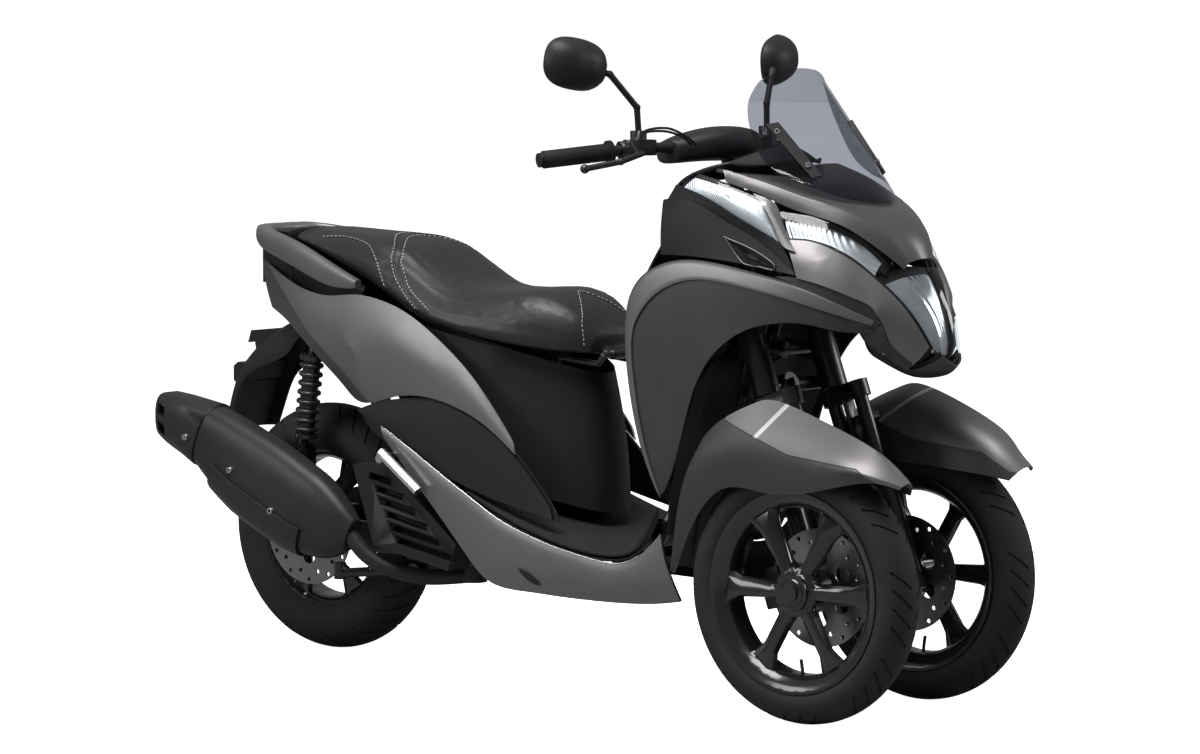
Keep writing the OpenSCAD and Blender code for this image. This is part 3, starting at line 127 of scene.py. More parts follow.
# %% The recipe for a finish
def node(tree, kind, **sockets):
    made = tree.nodes.new(kind)
    for key, value in sockets.items():
        made.inputs[key.replace("_", " ")].default_value = value
    return made


def finish(name, colour, rough, metal=0.0, grain=900.0, bump=0.06, mottle=0.12, coat=0.0, specular=0.5,
           rough_shift=0.08, flake=0.0):
    material = bpy.data.materials.new(name)
    material.use_nodes = True
    tree = material.node_tree
    shader = tree.nodes["Principled BSDF"]
    shader.inputs["Metallic"].default_value = metal
    shader.inputs["Specular IOR Level"].default_value = specular
    shader.inputs["Coat Weight"].default_value = coat
    shader.inputs["Coat Roughness"].default_value = 0.12
    place = tree.nodes.new("ShaderNodeTexCoord")
    broad = node(tree, "ShaderNodeTexNoise", Scale=7.0, Detail=5.0, Roughness=0.6)
    fine = node(tree, "ShaderNodeTexNoise", Scale=grain, Detail=2.0, Roughness=0.55)
    tone = tree.nodes.new("ShaderNodeValToRGB")
    low, high = tone.color_ramp.elements
    low.position, high.position = 0.3, 0.72
    low.color = [c * (1 - mottle) for c in colour] + [1]
    high.color = [min(1, c * (1 + mottle)) for c in colour] + [1]
    span = node(tree, "ShaderNodeMapRange", To_Min=max(0.02, rough - rough_shift),
                To_Max=min(1, rough + rough_shift))
    relief = node(tree, "ShaderNodeBump", Strength=bump, Distance=0.0006)
    link = tree.links.new
    link(place.outputs["Object"], broad.inputs["Vector"])
    link(place.outputs["Object"], fine.inputs["Vector"])
    link(broad.outputs["Fac"], tone.inputs["Fac"])
    shown = tone.outputs["Color"]
    if flake:
        mix = node(tree, "ShaderNodeMix")
        mix.data_type = "RGBA"
        mix.blend_type = "ADD"
        mix.inputs["Factor"].default_value = flake
        link(shown, mix.inputs["A"])
        link(fine.outputs["Fac"], mix.inputs["B"])
        shown = mix.outputs["Result"]
    link(shown, shader.inputs["Base Color"])
    link(broad.outputs["Fac"], span.inputs["Value"])
    link(span.outputs["Result"], shader.inputs["Roughness"])
    link(fine.outputs["Fac"], relief.inputs["Height"])
    link(relief.outputs["Normal"], shader.inputs["Normal"])
    return material


# %% [markdown]
# The machine is grey metallic paint over black plastic. Paint has a fine flake and little bump, moulded
# plastic a leathery grain, rubber a coarse one and little shine. The blacks differ mostly in roughness, which
# is what tells a tyre from a rim in one light.

# %% Paint, plastic, rubber and metal
GUNMETAL = (0.135, 0.129, 0.128)
LIGHT_PAINT = {"metal": 0.6, "grain": 2600, "bump": 0.03, "mottle": 0.05, "specular": 0.3}
DARK_PAINT = {"metal": 0.5, "grain": 2600, "bump": 0.03, "mottle": 0.06, "specular": 0.25}
paint_grey = finish("paint_grey", GUNMETAL, 0.38, flake=0.012, **LIGHT_PAINT)
paint_mid = finish("paint_mid", (0.092, 0.088, 0.087), 0.38, **LIGHT_PAINT)
paint_dark = finish("paint_dark", (0.052, 0.050, 0.052), 0.42, **DARK_PAINT)
plastic_black = finish("plastic_black", (0.0105, 0.0100, 0.0118), 0.50, grain=1500, bump=0.2, mottle=0.15,
                       specular=0.2)
plastic_gloss = finish("plastic_gloss", (0.008, 0.008, 0.009), 0.2, grain=600, bump=0.01, mottle=0.1, coat=0.3,
                       specular=0.35)
frame_paint = finish("frame_paint", (0.010, 0.010, 0.011), 0.36, grain=900, bump=0.05, mottle=0.2, coat=0.2,
                     specular=0.35)
wheel_paint = finish("wheel_paint", (0.007, 0.007, 0.008), 0.24, grain=700, bump=0.02, mottle=0.15, coat=0.4,
                     specular=0.35)
tyre_rubber = finish("tyre_rubber", (0.016, 0.016, 0.017), 0.74, grain=1100, bump=0.18, mottle=0.25,
                     specular=0.2)
grip_rubber = finish("grip_rubber", (0.010, 0.010, 0.010), 0.66, grain=1300, bump=0.2, mottle=0.2,
                     specular=0.2)
mat_rubber = finish("mat_rubber", (0.014, 0.014, 0.015), 0.62, grain=260, bump=0.9, mottle=0.15, specular=0.2)
cast_metal = finish("cast_metal", (0.045, 0.045, 0.048), 0.48, metal=0.6, grain=700, bump=0.25, mottle=0.15)
muffler_coat = finish("muffler_coat", (0.024, 0.023, 0.025), 0.42, metal=0.3, grain=1200, bump=0.12,
                      mottle=0.15, specular=0.2)
alloy_satin = finish("alloy_satin", (0.50, 0.50, 0.51), 0.3, metal=1.0, grain=800, bump=0.04, mottle=0.08)
disc_steel = finish("disc_steel", (0.20, 0.20, 0.205), 0.34, metal=1.0, grain=1800, bump=0.1, mottle=0.12)
seat_vinyl = finish("seat_vinyl", (0.0125, 0.012, 0.013), 0.42, grain=420, bump=0.45, mottle=0.12,
                    specular=0.35)
mirror_glass = finish("mirror_glass", (0.62, 0.64, 0.66), 0.06, metal=1.0, grain=300, bump=0.0, mottle=0.03,
                      rough_shift=0.02)
thread_grey = finish("thread_grey", (0.36, 0.36, 0.37), 0.7, grain=2200, bump=0.3, mottle=0.15)
FINISH = {"gunmetal": paint_grey, "dark_grey": paint_dark, "black_plastic": plastic_black,
          "frame_black": frame_paint, "wheel_black": wheel_paint, "tyre": tyre_rubber,
          "grip_rubber": grip_rubber, "engine_grey": cast_metal, "muffler_grey": muffler_coat,
          "alloy": alloy_satin, "disc_steel": disc_steel, "seat_vinyl": seat_vinyl}
print("finishes", len(FINISH))


# %% [markdown]
# The fender's upper blade is lighter than its flare because it faces the light, and that lightness is a
# painted highlight. The edge could be cut into the mesh, but a subdivided grid blurs it, so it is painted. A
# colour ramp holds the height of the dividing line along the machine; a point above it, and ahead of the
# slanted rear edge, is blade. The same distance, softened over two millimetres, raises a step. One light
# stripe, also a painted highlight, runs up and forward across the blade.

# %% Tools for painted highlights in two tones
STEP_SOFT = 0.002


def maths(tree, operation, first, second, third=None):
    made = tree.nodes.new("ShaderNodeMath")
    made.operation = operation
    for k, value in enumerate((first, second, third)):
        if value is None:
            continue
        if isinstance(value, (int, float)):
            made.inputs[k].default_value = value
        else:
            tree.links.new(value, made.inputs[k])
    return made.outputs["Value"]


def place_along(tree, direction):
    place = tree.nodes.new("ShaderNodeTexCoord")
    dot = tree.nodes.new("ShaderNodeVectorMath")
    dot.operation = "DOT_PRODUCT"
    dot.inputs[1].default_value = direction
    tree.links.new(place.outputs["Object"], dot.inputs[0])
    return dot.outputs["Value"]


def over(tree, mask, colour):
    base = tree.nodes["Principled BSDF"].inputs["Base Color"]
    mix = tree.nodes.new("ShaderNodeMix")
    mix.data_type = "RGBA"
    mix.inputs["B"].default_value = (*colour, 1)
    tree.links.new(mask, mix.inputs["Factor"])
    tree.links.new(base.links[0].from_socket, mix.inputs["A"])
    tree.links.new(mix.outputs["Result"], base)


def step_at(tree, distance, height):
    step = node(tree, "ShaderNodeMapRange", From_Max=STEP_SOFT)
    tree.links.new(distance, step.inputs["Value"])
    edge = node(tree, "ShaderNodeBump", Strength=1.0, Distance=height)
    tree.links.new(step.outputs["Result"], edge.inputs["Height"])
    normal = tree.nodes["Principled BSDF"].inputs["Normal"]
    tree.links.new(normal.links[0].from_socket, edge.inputs["Normal"])
    tree.links.new(edge.outputs["Normal"], normal)


# %% Fender with a painted highlight on its upper blade
BLADE_START, BLADE_LONG = 0.50, 0.45
# Columns: place along the machine, height of the dividing line
BLADE_LINE = [(0.53, 0.572), (0.545, 0.564), (0.705, 0.508), (0.856, 0.491), (0.917, 0.455)]
BLADE_REAR, BLADE_REAR_AT = (1, 0, -0.7), 0.150
STRIPE, STRIPE_AT, STRIPE_HALF = (0.707, 0, -0.707), 0.064, 0.0042
# Grey of the painted highlight stripe across the blade
HIGHLIGHT_STRIPE_GREY = (0.42, 0.42, 0.42)


def blade_height(tree):
    from_start = maths(tree, "SUBTRACT", place_along(tree, (1, 0, 0)), BLADE_START)
    line = tree.nodes.new("ShaderNodeValToRGB")
    for k, (x, z) in enumerate(BLADE_LINE):
        spot = (x - BLADE_START) / BLADE_LONG
        element = line.color_ramp.elements[k] if k < 2 else line.color_ramp.elements.new(spot)
        element.position = spot
        element.color = (z, z, z, 1)
    tree.links.new(maths(tree, "DIVIDE", from_start, BLADE_LONG), line.inputs["Fac"])
    return line.outputs["Color"]


# The base is the flare's colour; the blade and its stripe are painted lighter below, as painted highlights
fender_highlight_paint = finish("fender_highlight_paint", (0.048, 0.046, 0.048), 0.42, **DARK_PAINT)
tree = fender_highlight_paint.node_tree
above = maths(tree, "SUBTRACT", place_along(tree, (0, 0, 1)), blade_height(tree))
ahead = maths(tree, "SUBTRACT", place_along(tree, BLADE_REAR), BLADE_REAR_AT)
inside = maths(tree, "MINIMUM", above, ahead)
blade_highlight = maths(tree, "GREATER_THAN", inside, 0.0)
highlight_stripe = maths(tree, "COMPARE", place_along(tree, STRIPE), STRIPE_AT, STRIPE_HALF)
# Painted highlight: the blade in body grey, and the lighter stripe on it
over(tree, blade_highlight, GUNMETAL)
over(tree, maths(tree, "MULTIPLY", highlight_stripe, blade_highlight), HIGHLIGHT_STRIPE_GREY)
step_at(tree, inside, 0.002)
print("fender paint ready")

# %% [markdown]
# The tail panel is moulded in two planes, and the upper one catches more light. That light is painted: the
# upper strip is coloured lighter as a painted highlight, and the lower face darker as painted shade. Its edge
# is straight, so one slanted plane divides the two tones, and the same step marks it.

# %% Tail with a painted highlight on the upper strip and painted shade below
TAIL_HIGHLIGHT, TAIL_HIGHLIGHT_AT = (0.8, 0, 1), 0.197
# The base colour, darker than the body grey, is painted shade on the lower face, which points down
tail_painted_light = finish("tail_painted_light", (0.082, 0.079, 0.080), 0.40, **LIGHT_PAINT)
tree = tail_painted_light.node_tree
inside = maths(tree, "SUBTRACT", place_along(tree, TAIL_HIGHLIGHT), TAIL_HIGHLIGHT_AT)
# The upper strip's lighter colour is a painted highlight
over(tree, maths(tree, "GREATER_THAN", inside, 0.0), (0.150, 0.144, 0.143))
step_at(tree, inside, 0.0015)
print("tail paint ready")


# %% [markdown]
# Lenses and the screen let light through. A thin clear shell renders best as a mix of a transparent and a
# glossy shader, weighted by Fresnel, because real refraction in a 3 mm shell only darkens what is behind.
# The weight drops to nothing on back faces, or the shell's inner side would mirror itself and turn black.

# %% Lenses and screen
def clear_finish(name, tint, rough=0.04):
    material = bpy.data.materials.new(name)
    material.use_nodes = True
    tree = material.node_tree
    tree.nodes.remove(tree.nodes["Principled BSDF"])
    place = tree.nodes.new("ShaderNodeTexCoord")
    haze = node(tree, "ShaderNodeTexNoise", Scale=14.0, Detail=4.0)
    tone = tree.nodes.new("ShaderNodeValToRGB")
    tone.color_ramp.elements[0].color = [c * 0.94 for c in tint] + [1]
    tone.color_ramp.elements[1].color = list(tint) + [1]
    through = tree.nodes.new("ShaderNodeBsdfTransparent")
    gloss = node(tree, "ShaderNodeBsdfGlossy", Roughness=rough)
    rim = node(tree, "ShaderNodeFresnel", IOR=1.49)
    side = tree.nodes.new("ShaderNodeNewGeometry")
    front = maths(tree, "SUBTRACT", 1.0, side.outputs["Backfacing"])
    mix = tree.nodes.new("ShaderNodeMixShader")
    link = tree.links.new
    link(place.outputs["Object"], haze.inputs["Vector"])
    link(haze.outputs["Fac"], tone.inputs["Fac"])
    link(tone.outputs["Color"], through.inputs["Color"])
    link(maths(tree, "MULTIPLY", rim.outputs["Fac"], front), mix.inputs["Fac"])
    link(through.outputs["BSDF"], mix.inputs[1])
    link(gloss.outputs["BSDF"], mix.inputs[2])
    link(mix.outputs["Shader"], tree.nodes["Material Output"].inputs["Surface"])
    return material


lens_clear = clear_finish("lens_clear", (0.94, 0.96, 0.97))
screen_smoke = clear_finish("screen_smoke", (0.56, 0.57, 0.61))
lens_red = finish("lens_red", (0.30, 0.012, 0.012), 0.12, grain=300, bump=0.05, mottle=0.2, coat=0.8)
FINISH.update({"clear_lens": lens_clear, "smoke_screen": screen_smoke, "red_lens": lens_red})
print("finishes with lenses", len(FINISH))


# %% [markdown]
# The body panels are coarse grids of flat faces. A copy of each is merged, its triangles are joined back
# into quads, its hard edges are creased, and a subdivision surface then rounds what lies between them.
# The copy stands for the node from here on, and the solid itself stays for collision.

# %% Copies with creased edges
MERGE_NEAR = 3e-5
PANEL_CREASE, SHEET_CREASE = 38, 60


def copy_node(name, quads=True):
    only(frame["nodes"][name])
    bpy.ops.object.duplicate()
    piece = bpy.context.object
    only(piece)
    bpy.ops.object.parent_clear(type="CLEAR_KEEP_TRANSFORM")
    edit(piece)
    bpy.ops.mesh.remove_doubles(threshold=MERGE_NEAR)
    if quads:
        bpy.ops.mesh.tris_convert_to_quads(face_threshold=math.radians(40), shape_threshold=math.radians(60))
    return done()


def crease(piece, angle):
    edit(piece, "DESELECT", "EDGE")
    bpy.ops.mesh.edges_select_sharp(sharpness=math.radians(angle))
    bpy.ops.transform.edge_crease(value=1.0)
    return done()


def rounded(piece, angle, levels):
    crease(piece, angle)
    apply(piece, "SUBSURF", levels=levels, render_levels=levels)


# %% [markdown]
# Behind each clear lens sits a bright reflector. It follows the lens, a little smaller and further in, so a
# copy of the lens, shrunk about its middle and moved inwards, is close to how the real one is drawn. Fine
# ribs in the finish break up the reflection as the moulded facets do.

# %% Ribbed reflector finish
# A wave texture of scale 1 has about this many bands to the metre
WAVE_BANDS = 3.2


def ribbed(name, colour, rough, metal, pitch, height, turn):
    material = finish(name, colour, rough, metal=metal, grain=500, bump=0.05, mottle=0.1)
    tree = material.node_tree
    place = tree.nodes.new("ShaderNodeTexCoord")
    mapping = node(tree, "ShaderNodeMapping", Rotation=[math.radians(angle) for angle in turn])
    wave = node(tree, "ShaderNodeTexWave", Scale=1.0 / pitch / WAVE_BANDS, Distortion=0.0)
    wave.bands_direction = "X"
    bump = node(tree, "ShaderNodeBump", Strength=1.0, Distance=height)
    tree.links.new(place.outputs["Object"], mapping.inputs["Vector"])
    tree.links.new(mapping.outputs["Vector"], wave.inputs["Vector"])
    tree.links.new(wave.outputs["Fac"], bump.inputs["Height"])
    tree.links.new(bump.outputs["Normal"], tree.nodes["Principled BSDF"].inputs["Normal"])
    return material


reflector = ribbed("reflector", (0.78, 0.79, 0.80), 0.2, 1.0, pitch=0.009, height=0.0014, turn=(0, 0, 60))
prism = ribbed("prism", (0.80, 0.81, 0.83), 0.34, 0.8, pitch=0.004, height=0.0006, turn=(0, 35, 25))
print("reflector finishes ready")

# %% [markdown]
# A node may hold several solids, such as a lamp in the middle and strips on both sides. They are split, and
# each is moved inwards along its own way: straight back in the middle, and towards the middle at the sides.

# %% Reflectors behind the lenses
ON_CENTRE = 0.02


def split_solids(piece):
    edit(piece)
    bpy.ops.mesh.separate(type="LOOSE")
    done()
    return list(bpy.context.selected_objects)


def middle_of(piece):
    points = [v.co for v in piece.data.vertices]
    return sum(points, Vector()) / len(points)


def inner_shells(node_name, share, depth, middle_way, side_way, levels):
    for k, piece in enumerate(split_solids(copy_node(node_name))):
        centre = middle_of(piece)
        central = abs(centre.y) < ON_CENTRE
        x, y, z = middle_way if central else side_way
        inwards = Vector((x, -math.copysign(y, centre.y), z)).normalized() * depth
        for v in piece.data.vertices:
            v.co = centre + (v.co - centre) * share + inwards
        rounded(piece, PANEL_CREASE, levels)
        smooth(piece)
        yield k, piece, central


def reflect(node_name, share, depth, middle_finish, side_finish):
    for k, piece, central in inner_shells(node_name, share, depth, (-1, 0, -0.25), (-0.55, 0.75, -0.35), 2):
        material = middle_finish if central else side_finish
        settle(piece, f"{node_name}_bowl_{k}", "chassis", "clear_lens", material)
        print(piece.name)


reflect("headlight", 0.9, 0.024, reflector, prism)
reflect("front_signals", 0.9, 0.011, prism, prism)

# %% [markdown]
# Real panels leave dark seams between them, because a frame and inner covers stand behind. A copy of each
# panel, grown a little and moved inwards, gives that darkness and hides the daylight behind the front.

# %% Dark backing behind the seams
def backing(node_name, share, depth, way=None):
    middle_way, side_way = (way, way) if way else ((-1, 0, -0.1), (-0.35, 0.9, 0))
    for k, piece, _ in inner_shells(node_name, share, depth, middle_way, side_way, 1):
        settle(piece, f"{node_name}_back_{k}", "chassis", "black_plastic", plastic_black)


backing("cowl_flanks", 1.03, 0.015)
backing("front_signals", 1.03, 0.026)
backing("intake_panels", 1.04, 0.009)
backing("headlight", 1.04, 0.034)
backing("chin_cover", 1.03, 0.010, (-1, 0, 0.6))
backing("floor_panel", 1.02, 0.008, (0, 0, -1))
backing("side_covers", 1.05, 0.010)
backing("side_skirts", 1.0, 0.008)
print("backings made")

# %% [markdown]
# Some pieces carry a second finish: the rubber mat on the floor, the glass of the mirrors and the red window
# of the tail lamp. Their faces are picked by place and normal before the grid is subdivided, so the border
# keeps to the moulded lines. On the flanks, points that crowd into a pinch are merged at the same time.

# %% Faces with a second finish
FRONT_X = 0.700
PANEL_WALL = 0.0046
MAT_LEVEL, GLASS_LEVEL, GLASS_LOW = 0.75, -0.8, 1.15
WINDOW_HALF = 0.052
PINCH_X, PINCH_Y, PINCH_Z = FRONT_X + 0.018, 0.178, 0.867
PINCH_NEAR, PINCH_OUT = 0.011, 0.172


def on_border(piece, face):
    points = [piece.data.vertices[v].co for v in face.vertices]
    return min((points[k] - points[k - 1]).length for k in range(len(points))) < PANEL_WALL


def mark(piece, belongs):
    while len(piece.data.materials) < 2:
        piece.data.materials.append(None)
    for face in piece.data.polygons:
        if belongs(face):
            face.material_index = 1


def mat_area(piece):
    mark(piece, lambda face: face.normal.z > MAT_LEVEL and not on_border(piece, face))


def mirror_face(piece):
    mark(piece, lambda face: face.normal.x < GLASS_LEVEL and face.center.z > GLASS_LOW)


def lamp_window(piece):
    mark(piece, lambda face: abs(face.center.y) < WINDOW_HALF)


def flank_clean(piece):
    for side in (1, -1):
        edit(piece, "DESELECT")
        done()
        spot = Vector((PINCH_X, -side * PINCH_Y, PINCH_Z))
        for v in piece.data.vertices:
            v.select = (v.co - spot).length < PINCH_NEAR and abs(v.co.y) > PINCH_OUT
        bpy.ops.object.mode_set(mode="EDIT")
        bpy.ops.mesh.merge(type="CENTER")
        done()


# %% [markdown]
# Each node now gets its skin. Panels are creased and subdivided; machined and plain pieces only need their
# shading set by angle.

# %% Skins for every node
def dress(name, *materials, levels=2, shade=32, before=None):
    piece = copy_node(name, quads=levels > 0)
    if before:
        before(piece)
    if levels:
        rounded(piece, PANEL_CREASE, levels)
    smooth(piece, shade)
    if not levels:
        apply(piece, "WEIGHTED_NORMAL", keep_sharp=True)
    slot = slot_of[name]
    settle(piece, name + "_skin", body_of[name], slot, *(materials or [FINISH[slot]]))
    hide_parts(name)
    return piece


PANELS = ["headlight", "front_signals", "chin_cover", "windscreen", "dash_panel",
          "arch_liner", "inner_shield", "body_cover", "side_covers", "grab_rail",
          "tail_tray", "rear_fender", "muffler", "bar_cover"]
skins = {name: dress(name) for name in PANELS}
skins["front_cowl"] = dress("front_cowl", paint_mid)
skins["tail_panels"] = dress("tail_panels", tail_painted_light)
skins["cowl_flanks"] = dress("cowl_flanks", before=flank_clean)
skins["mirrors"] = dress("mirrors", plastic_black, mirror_glass, before=mirror_face)
skins["leg_shields"] = dress("leg_shields", paint_dark)
for name in ("fender_right", "fender_left"):
    skins[name] = dress(name, fender_highlight_paint)
skins["intake_panels"] = dress("intake_panels", plastic_black)
skins["side_skirts"] = dress("side_skirts", paint_grey)
skins["floor_panel"] = dress("floor_panel", plastic_black, mat_rubber, before=mat_area)
skins["tail_lamp"] = dress("tail_lamp", plastic_gloss, lens_red, before=lamp_window)
skins["brake_controls"] = dress("brake_controls", frame_paint, levels=0)
SOFT = ["tyre_fr", "tyre_fl", "tyre_rear", "seat"]
PLAIN = [name for name in frame["nodes"] if name not in skins and name not in SOFT]
for name in PLAIN:
    skins[name] = dress(name, levels=0, shade=24)
print("panels", len(skins) - len(PLAIN), "plain pieces", len(PLAIN))

# %% [markdown]
# A road tyre shows short curved grooves that lean forward from the middle to the shoulder. A torus gives the
# round section; turning its points about the axle in step with their distance from the middle bends its grid
# lines into that curve, and whole strips of faces can then be pushed in as grooves with clean edges.

# %% Tyres with grooved tread
FRONT_RIM, REAR_RIM = 0.1778, 0.1651
# Grid columns from one groove to the next, and grid lines round the section
GROOVE_COLUMNS, SECTION_LINES = 8, 36
# Depth of a groove, and its two ends as shares of the half width
GROOVE_DEEP, GROOVE_FROM, GROOVE_TO = 0.003, 0.1, 0.9
# Tread reaches this share of the half width down from the crown, and leans more towards the shoulder
TREAD_REACH, LEAN_POWER = 0.92, 1.5
# The sidewall starts this far above the rim, and draws in by a share over a height
SIDEWALL_TOP, SIDEWALL_DRAW, SIDEWALL_HIGH = 0.028, 0.16, 0.03
# The tyre reaches this far inside the rim's edge
RIM_OVERLAP = 0.004


def wheel_of(name):
    low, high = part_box(name)
    return (low + high) / 2, (high.z - low.z) / 2, (high.y - low.y) / 2


def turn_about_axle(point, middle, angle):
    x, z = point.x - middle.x, point.z - middle.z
    c, s = math.cos(angle), math.sin(angle)
    point.x, point.z = middle.x + c * x + s * z, middle.z - s * x + c * z


def shape_section(point, middle, half, rim_radius, lean):
    side = (point.y - middle.y) / half
    reach = math.hypot(point.x - middle.x, point.z - middle.z)
    shoulder, seat_radius = rim_radius + SIDEWALL_TOP, rim_radius - RIM_OVERLAP
    if reach < shoulder:
        fall = min(1, (shoulder - reach) / SIDEWALL_HIGH)
        point.y = middle.y + half * side * (1 - SIDEWALL_DRAW * fall)
    if reach < seat_radius:
        out = seat_radius / reach
        point.x, point.z = middle.x + out * (point.x - middle.x), middle.z + out * (point.z - middle.z)
    turn_about_axle(point, middle, lean * abs(side) ** LEAN_POWER)


def in_groove(spot, middle, radius, half, step, lean):
    side = (spot.y - middle.y) / half
    back = spot.copy()
    turn_about_axle(back, middle, -lean * abs(side) ** LEAN_POWER)
    turned_by = math.atan2(back.z - middle.z, back.x - middle.x)
    column = int(round(turned_by / step - 0.5)) % GROOVE_COLUMNS
    on_tread = math.hypot(spot.x - middle.x, spot.z - middle.z) > radius - half * TREAD_REACH
    first = column == (0 if side > 0 else GROOVE_COLUMNS // 2)
    return on_tread and first and GROOVE_FROM < abs(side) < GROOVE_TO


def grooved_tyre(name, rim_radius, grooves, lean):
    middle, radius, half = wheel_of(name)
    columns = grooves * GROOVE_COLUMNS
    bpy.ops.object.select_all(action="DESELECT")
    bpy.ops.mesh.primitive_torus_add(location=middle, rotation=(math.pi / 2, 0, 0), major_segments=columns,
                                     minor_segments=SECTION_LINES, major_radius=radius - half,
                                     minor_radius=half)
    piece = bpy.context.object
    bpy.ops.object.transform_apply(location=True, rotation=True, scale=True)
    for v in piece.data.vertices:
        shape_section(v.co, middle, half, rim_radius, lean)
    edit(piece, "DESELECT", "FACE")
    done()
    for face in piece.data.polygons:
        face.select = in_groove(face.center, middle, radius, half, 2 * math.pi / columns, lean)
    bpy.ops.object.mode_set(mode="EDIT")
    bpy.ops.mesh.extrude_region_shrink_fatten(TRANSFORM_OT_shrink_fatten={"value": -GROOVE_DEEP})
    bpy.ops.mesh.select_all(action="SELECT")
    bpy.ops.mesh.normals_make_consistent(inside=False)
    done()
    smooth(piece, 40)
    settle(piece, name + "_tread", body_of[name], "tyre", tyre_rubber)
    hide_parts(name)
    print(piece.name, "radius", round(radius, 3))


for name in ("tyre_fr", "tyre_fl"):
    grooved_tyre(name, FRONT_RIM, grooves=44, lean=-0.20)
grooved_tyre("tyre_rear", REAR_RIM, grooves=36, lean=0.24)

# %% [markdown]
# Small pieces come from a few tools. `weave` makes an object from points and faces, `sheet` a thin rounded
# plate from a grid of points, `patch` such a plate on both sides, `tube` a closed rod along a path, and
# `turned` a shape spun from a profile, as on a lathe. `laid_on` puts points onto a skin and lifts them off.

# %% Grids and sheets
SIDES = ((1, "right"), (-1, "left"))


def grid_faces(rows, wide, closed=False, start=0):
    faces = []
    for i in range(rows - 1):
        for j in range(wide if closed else wide - 1):
            a, b = start + i * wide + j, start + i * wide + (j + 1) % wide
            faces.append((a, b, b + wide, a + wide))
    return faces


def rod_faces(rows, wide, start=0):
    last = start + (rows - 1) * wide
    caps = [tuple(reversed(range(start, start + wide))), tuple(range(last, last + wide))]
    return grid_faces(rows, wide, True, start) + caps


def weave(name, points, faces):
    mesh = bpy.data.meshes.new(name)
    mesh.from_pydata([tuple(p) for p in points], [], faces)
    piece = bpy.data.objects.new(name, mesh)
    bpy.context.scene.collection.objects.link(piece)
    edit(piece)
    bpy.ops.mesh.remove_doubles(threshold=1e-6)
    bpy.ops.mesh.normals_make_consistent(inside=False)
    return done()


def sheet(name, points, rows, wide, thick, offset=0, levels=2):
    piece = weave(name, points, grid_faces(rows, wide))
    apply(piece, "SOLIDIFY", thickness=thick, offset=offset)
    rounded(piece, SHEET_CREASE, levels)
    smooth(piece)
    return piece


def from_axle(points, side):
    return [(FRONT_X + x / 1000, side * y / 1000, z / 1000) for x, y, z in points]


def patch(name, rows, thick, material, slot):
    for side, label in SIDES:
        points = from_axle([p for row in rows for p in row], side)
        piece = sheet(name, points, len(rows), len(rows[0]), thick)
        settle(piece, f"{name}_{label}", "chassis", slot, material)


def laid_on(target, path, height):
    laid = []
    for p in path:
        _, spot, normal, _ = target.closest_point_on_mesh(p)
        laid.append(spot + normal * height)
    return laid


# %% Rods and turned shapes
# A direction that no path follows
ASKEW = Vector((0.31, 0.12, 0.94))


def curve_through(points, steps):
    points = [Vector(p) for p in points]
    ends = [points[0] * 2 - points[1]] + points + [points[-1] * 2 - points[-2]]
    path = []
    for a, b, c, d in zip(ends, ends[1:], ends[2:], ends[3:]):
        for s in range(steps):
            t = s / steps
            path.append(0.5 * (2 * b + (c - a) * t + (2 * a - 5 * b + 4 * c - d) * t * t
                               + (3 * b - a - 3 * c + d) * t ** 3))
    return path + [points[-1]]


def tube_mesh(path, radius, sides, start=0):
    points = []
    for k, p in enumerate(path):
        onward = (path[min(k + 1, len(path) - 1)] - path[max(k - 1, 0)]).normalized()
        aside = onward.cross(ASKEW).normalized()
        up = aside.cross(onward)
        for s in range(sides):
            angle = 2 * math.pi * s / sides
            points.append(p + radius * (math.cos(angle) * aside + math.sin(angle) * up))
    return points, rod_faces(len(path), sides, start)


def tube(name, path, radius, sides=10):
    piece = weave(name, *tube_mesh(path, radius, sides))
    smooth(piece, 50)
    return piece


def turned(name, profile, place, axis, count=36):
    turn = Vector(axis).to_track_quat("Z", "Y")
    points = []
    for radius, height in profile:
        for s in range(count):
            angle = 2 * math.pi * s / count
            spot = Vector((radius * math.cos(angle), radius * math.sin(angle), height))
            points.append(Vector(place) + turn @ spot)
    piece = weave(name, points, rod_faces(len(profile), count))
    smooth(piece, 35)
    return piece


def joined(name, pieces, body, slot, *materials):
    only(*pieces)
    bpy.ops.object.join()
    return settle(bpy.context.object, name, body, slot, *materials)


# %% [markdown]
# Between the turn-signal lens, the light strip and the intake lie small fillets: one in body colour above
# the lens, dark ones below it, under the flank and round the chin. A pad carries the screen, and a slot
# marks the skirt. Each is a few rows of points, in millimetres from the front axle, made into a thin sheet.

# %% Fillets around the front lamps
THIN, PAD_THICK, SLOT_THICK = 0.003, 0.004, 0.0016
patch("lens_fillet", [[(-126, -188, 986), (-104, -184, 980), (-82, -170, 968)],
                      [(-96, -191, 962), (-80, -187, 951), (-70, -178, 942)],
                      [(-70, -195, 922), (-56, -193, 914), (-48, -186, 908)],
                      [(-50, -201, 890), (-36, -198, 884), (-24, -192, 880)]], THIN, paint_grey, "gunmetal")
patch("lens_sill", [[(-330, -191, 962), (-304, -191, 998)],
                    [(-262, -199, 968), (-230, -199, 980)],
                    [(-186, -198, 932), (-150, -201, 940)],
                    [(-104, -195, 896), (-96, -198, 916)],
                    [(-24, -196, 842), (-50, -191, 894)]], THIN, plastic_black, "black_plastic")
patch("flank_sill", [[(-20, -198, 836), (-60, -207, 834)],
                     [(30, -186, 822), (28, -192, 806)],
                     [(80, -158, 800), (80, -157, 778)],
                     [(112, -125, 776), (112, -121, 750)],
                     [(118, -108, 742), (94, -121, 720)],
                     [(124, -88, 700), (102, -102, 692)]], THIN, paint_dark, "dark_grey")
patch("screen_pad", [[(-140, -131, 1113), (-120, -117, 1117)],
                     [(-43, -115, 1014), (-29, -101, 1019)]], PAD_THICK, plastic_black, "black_plastic")
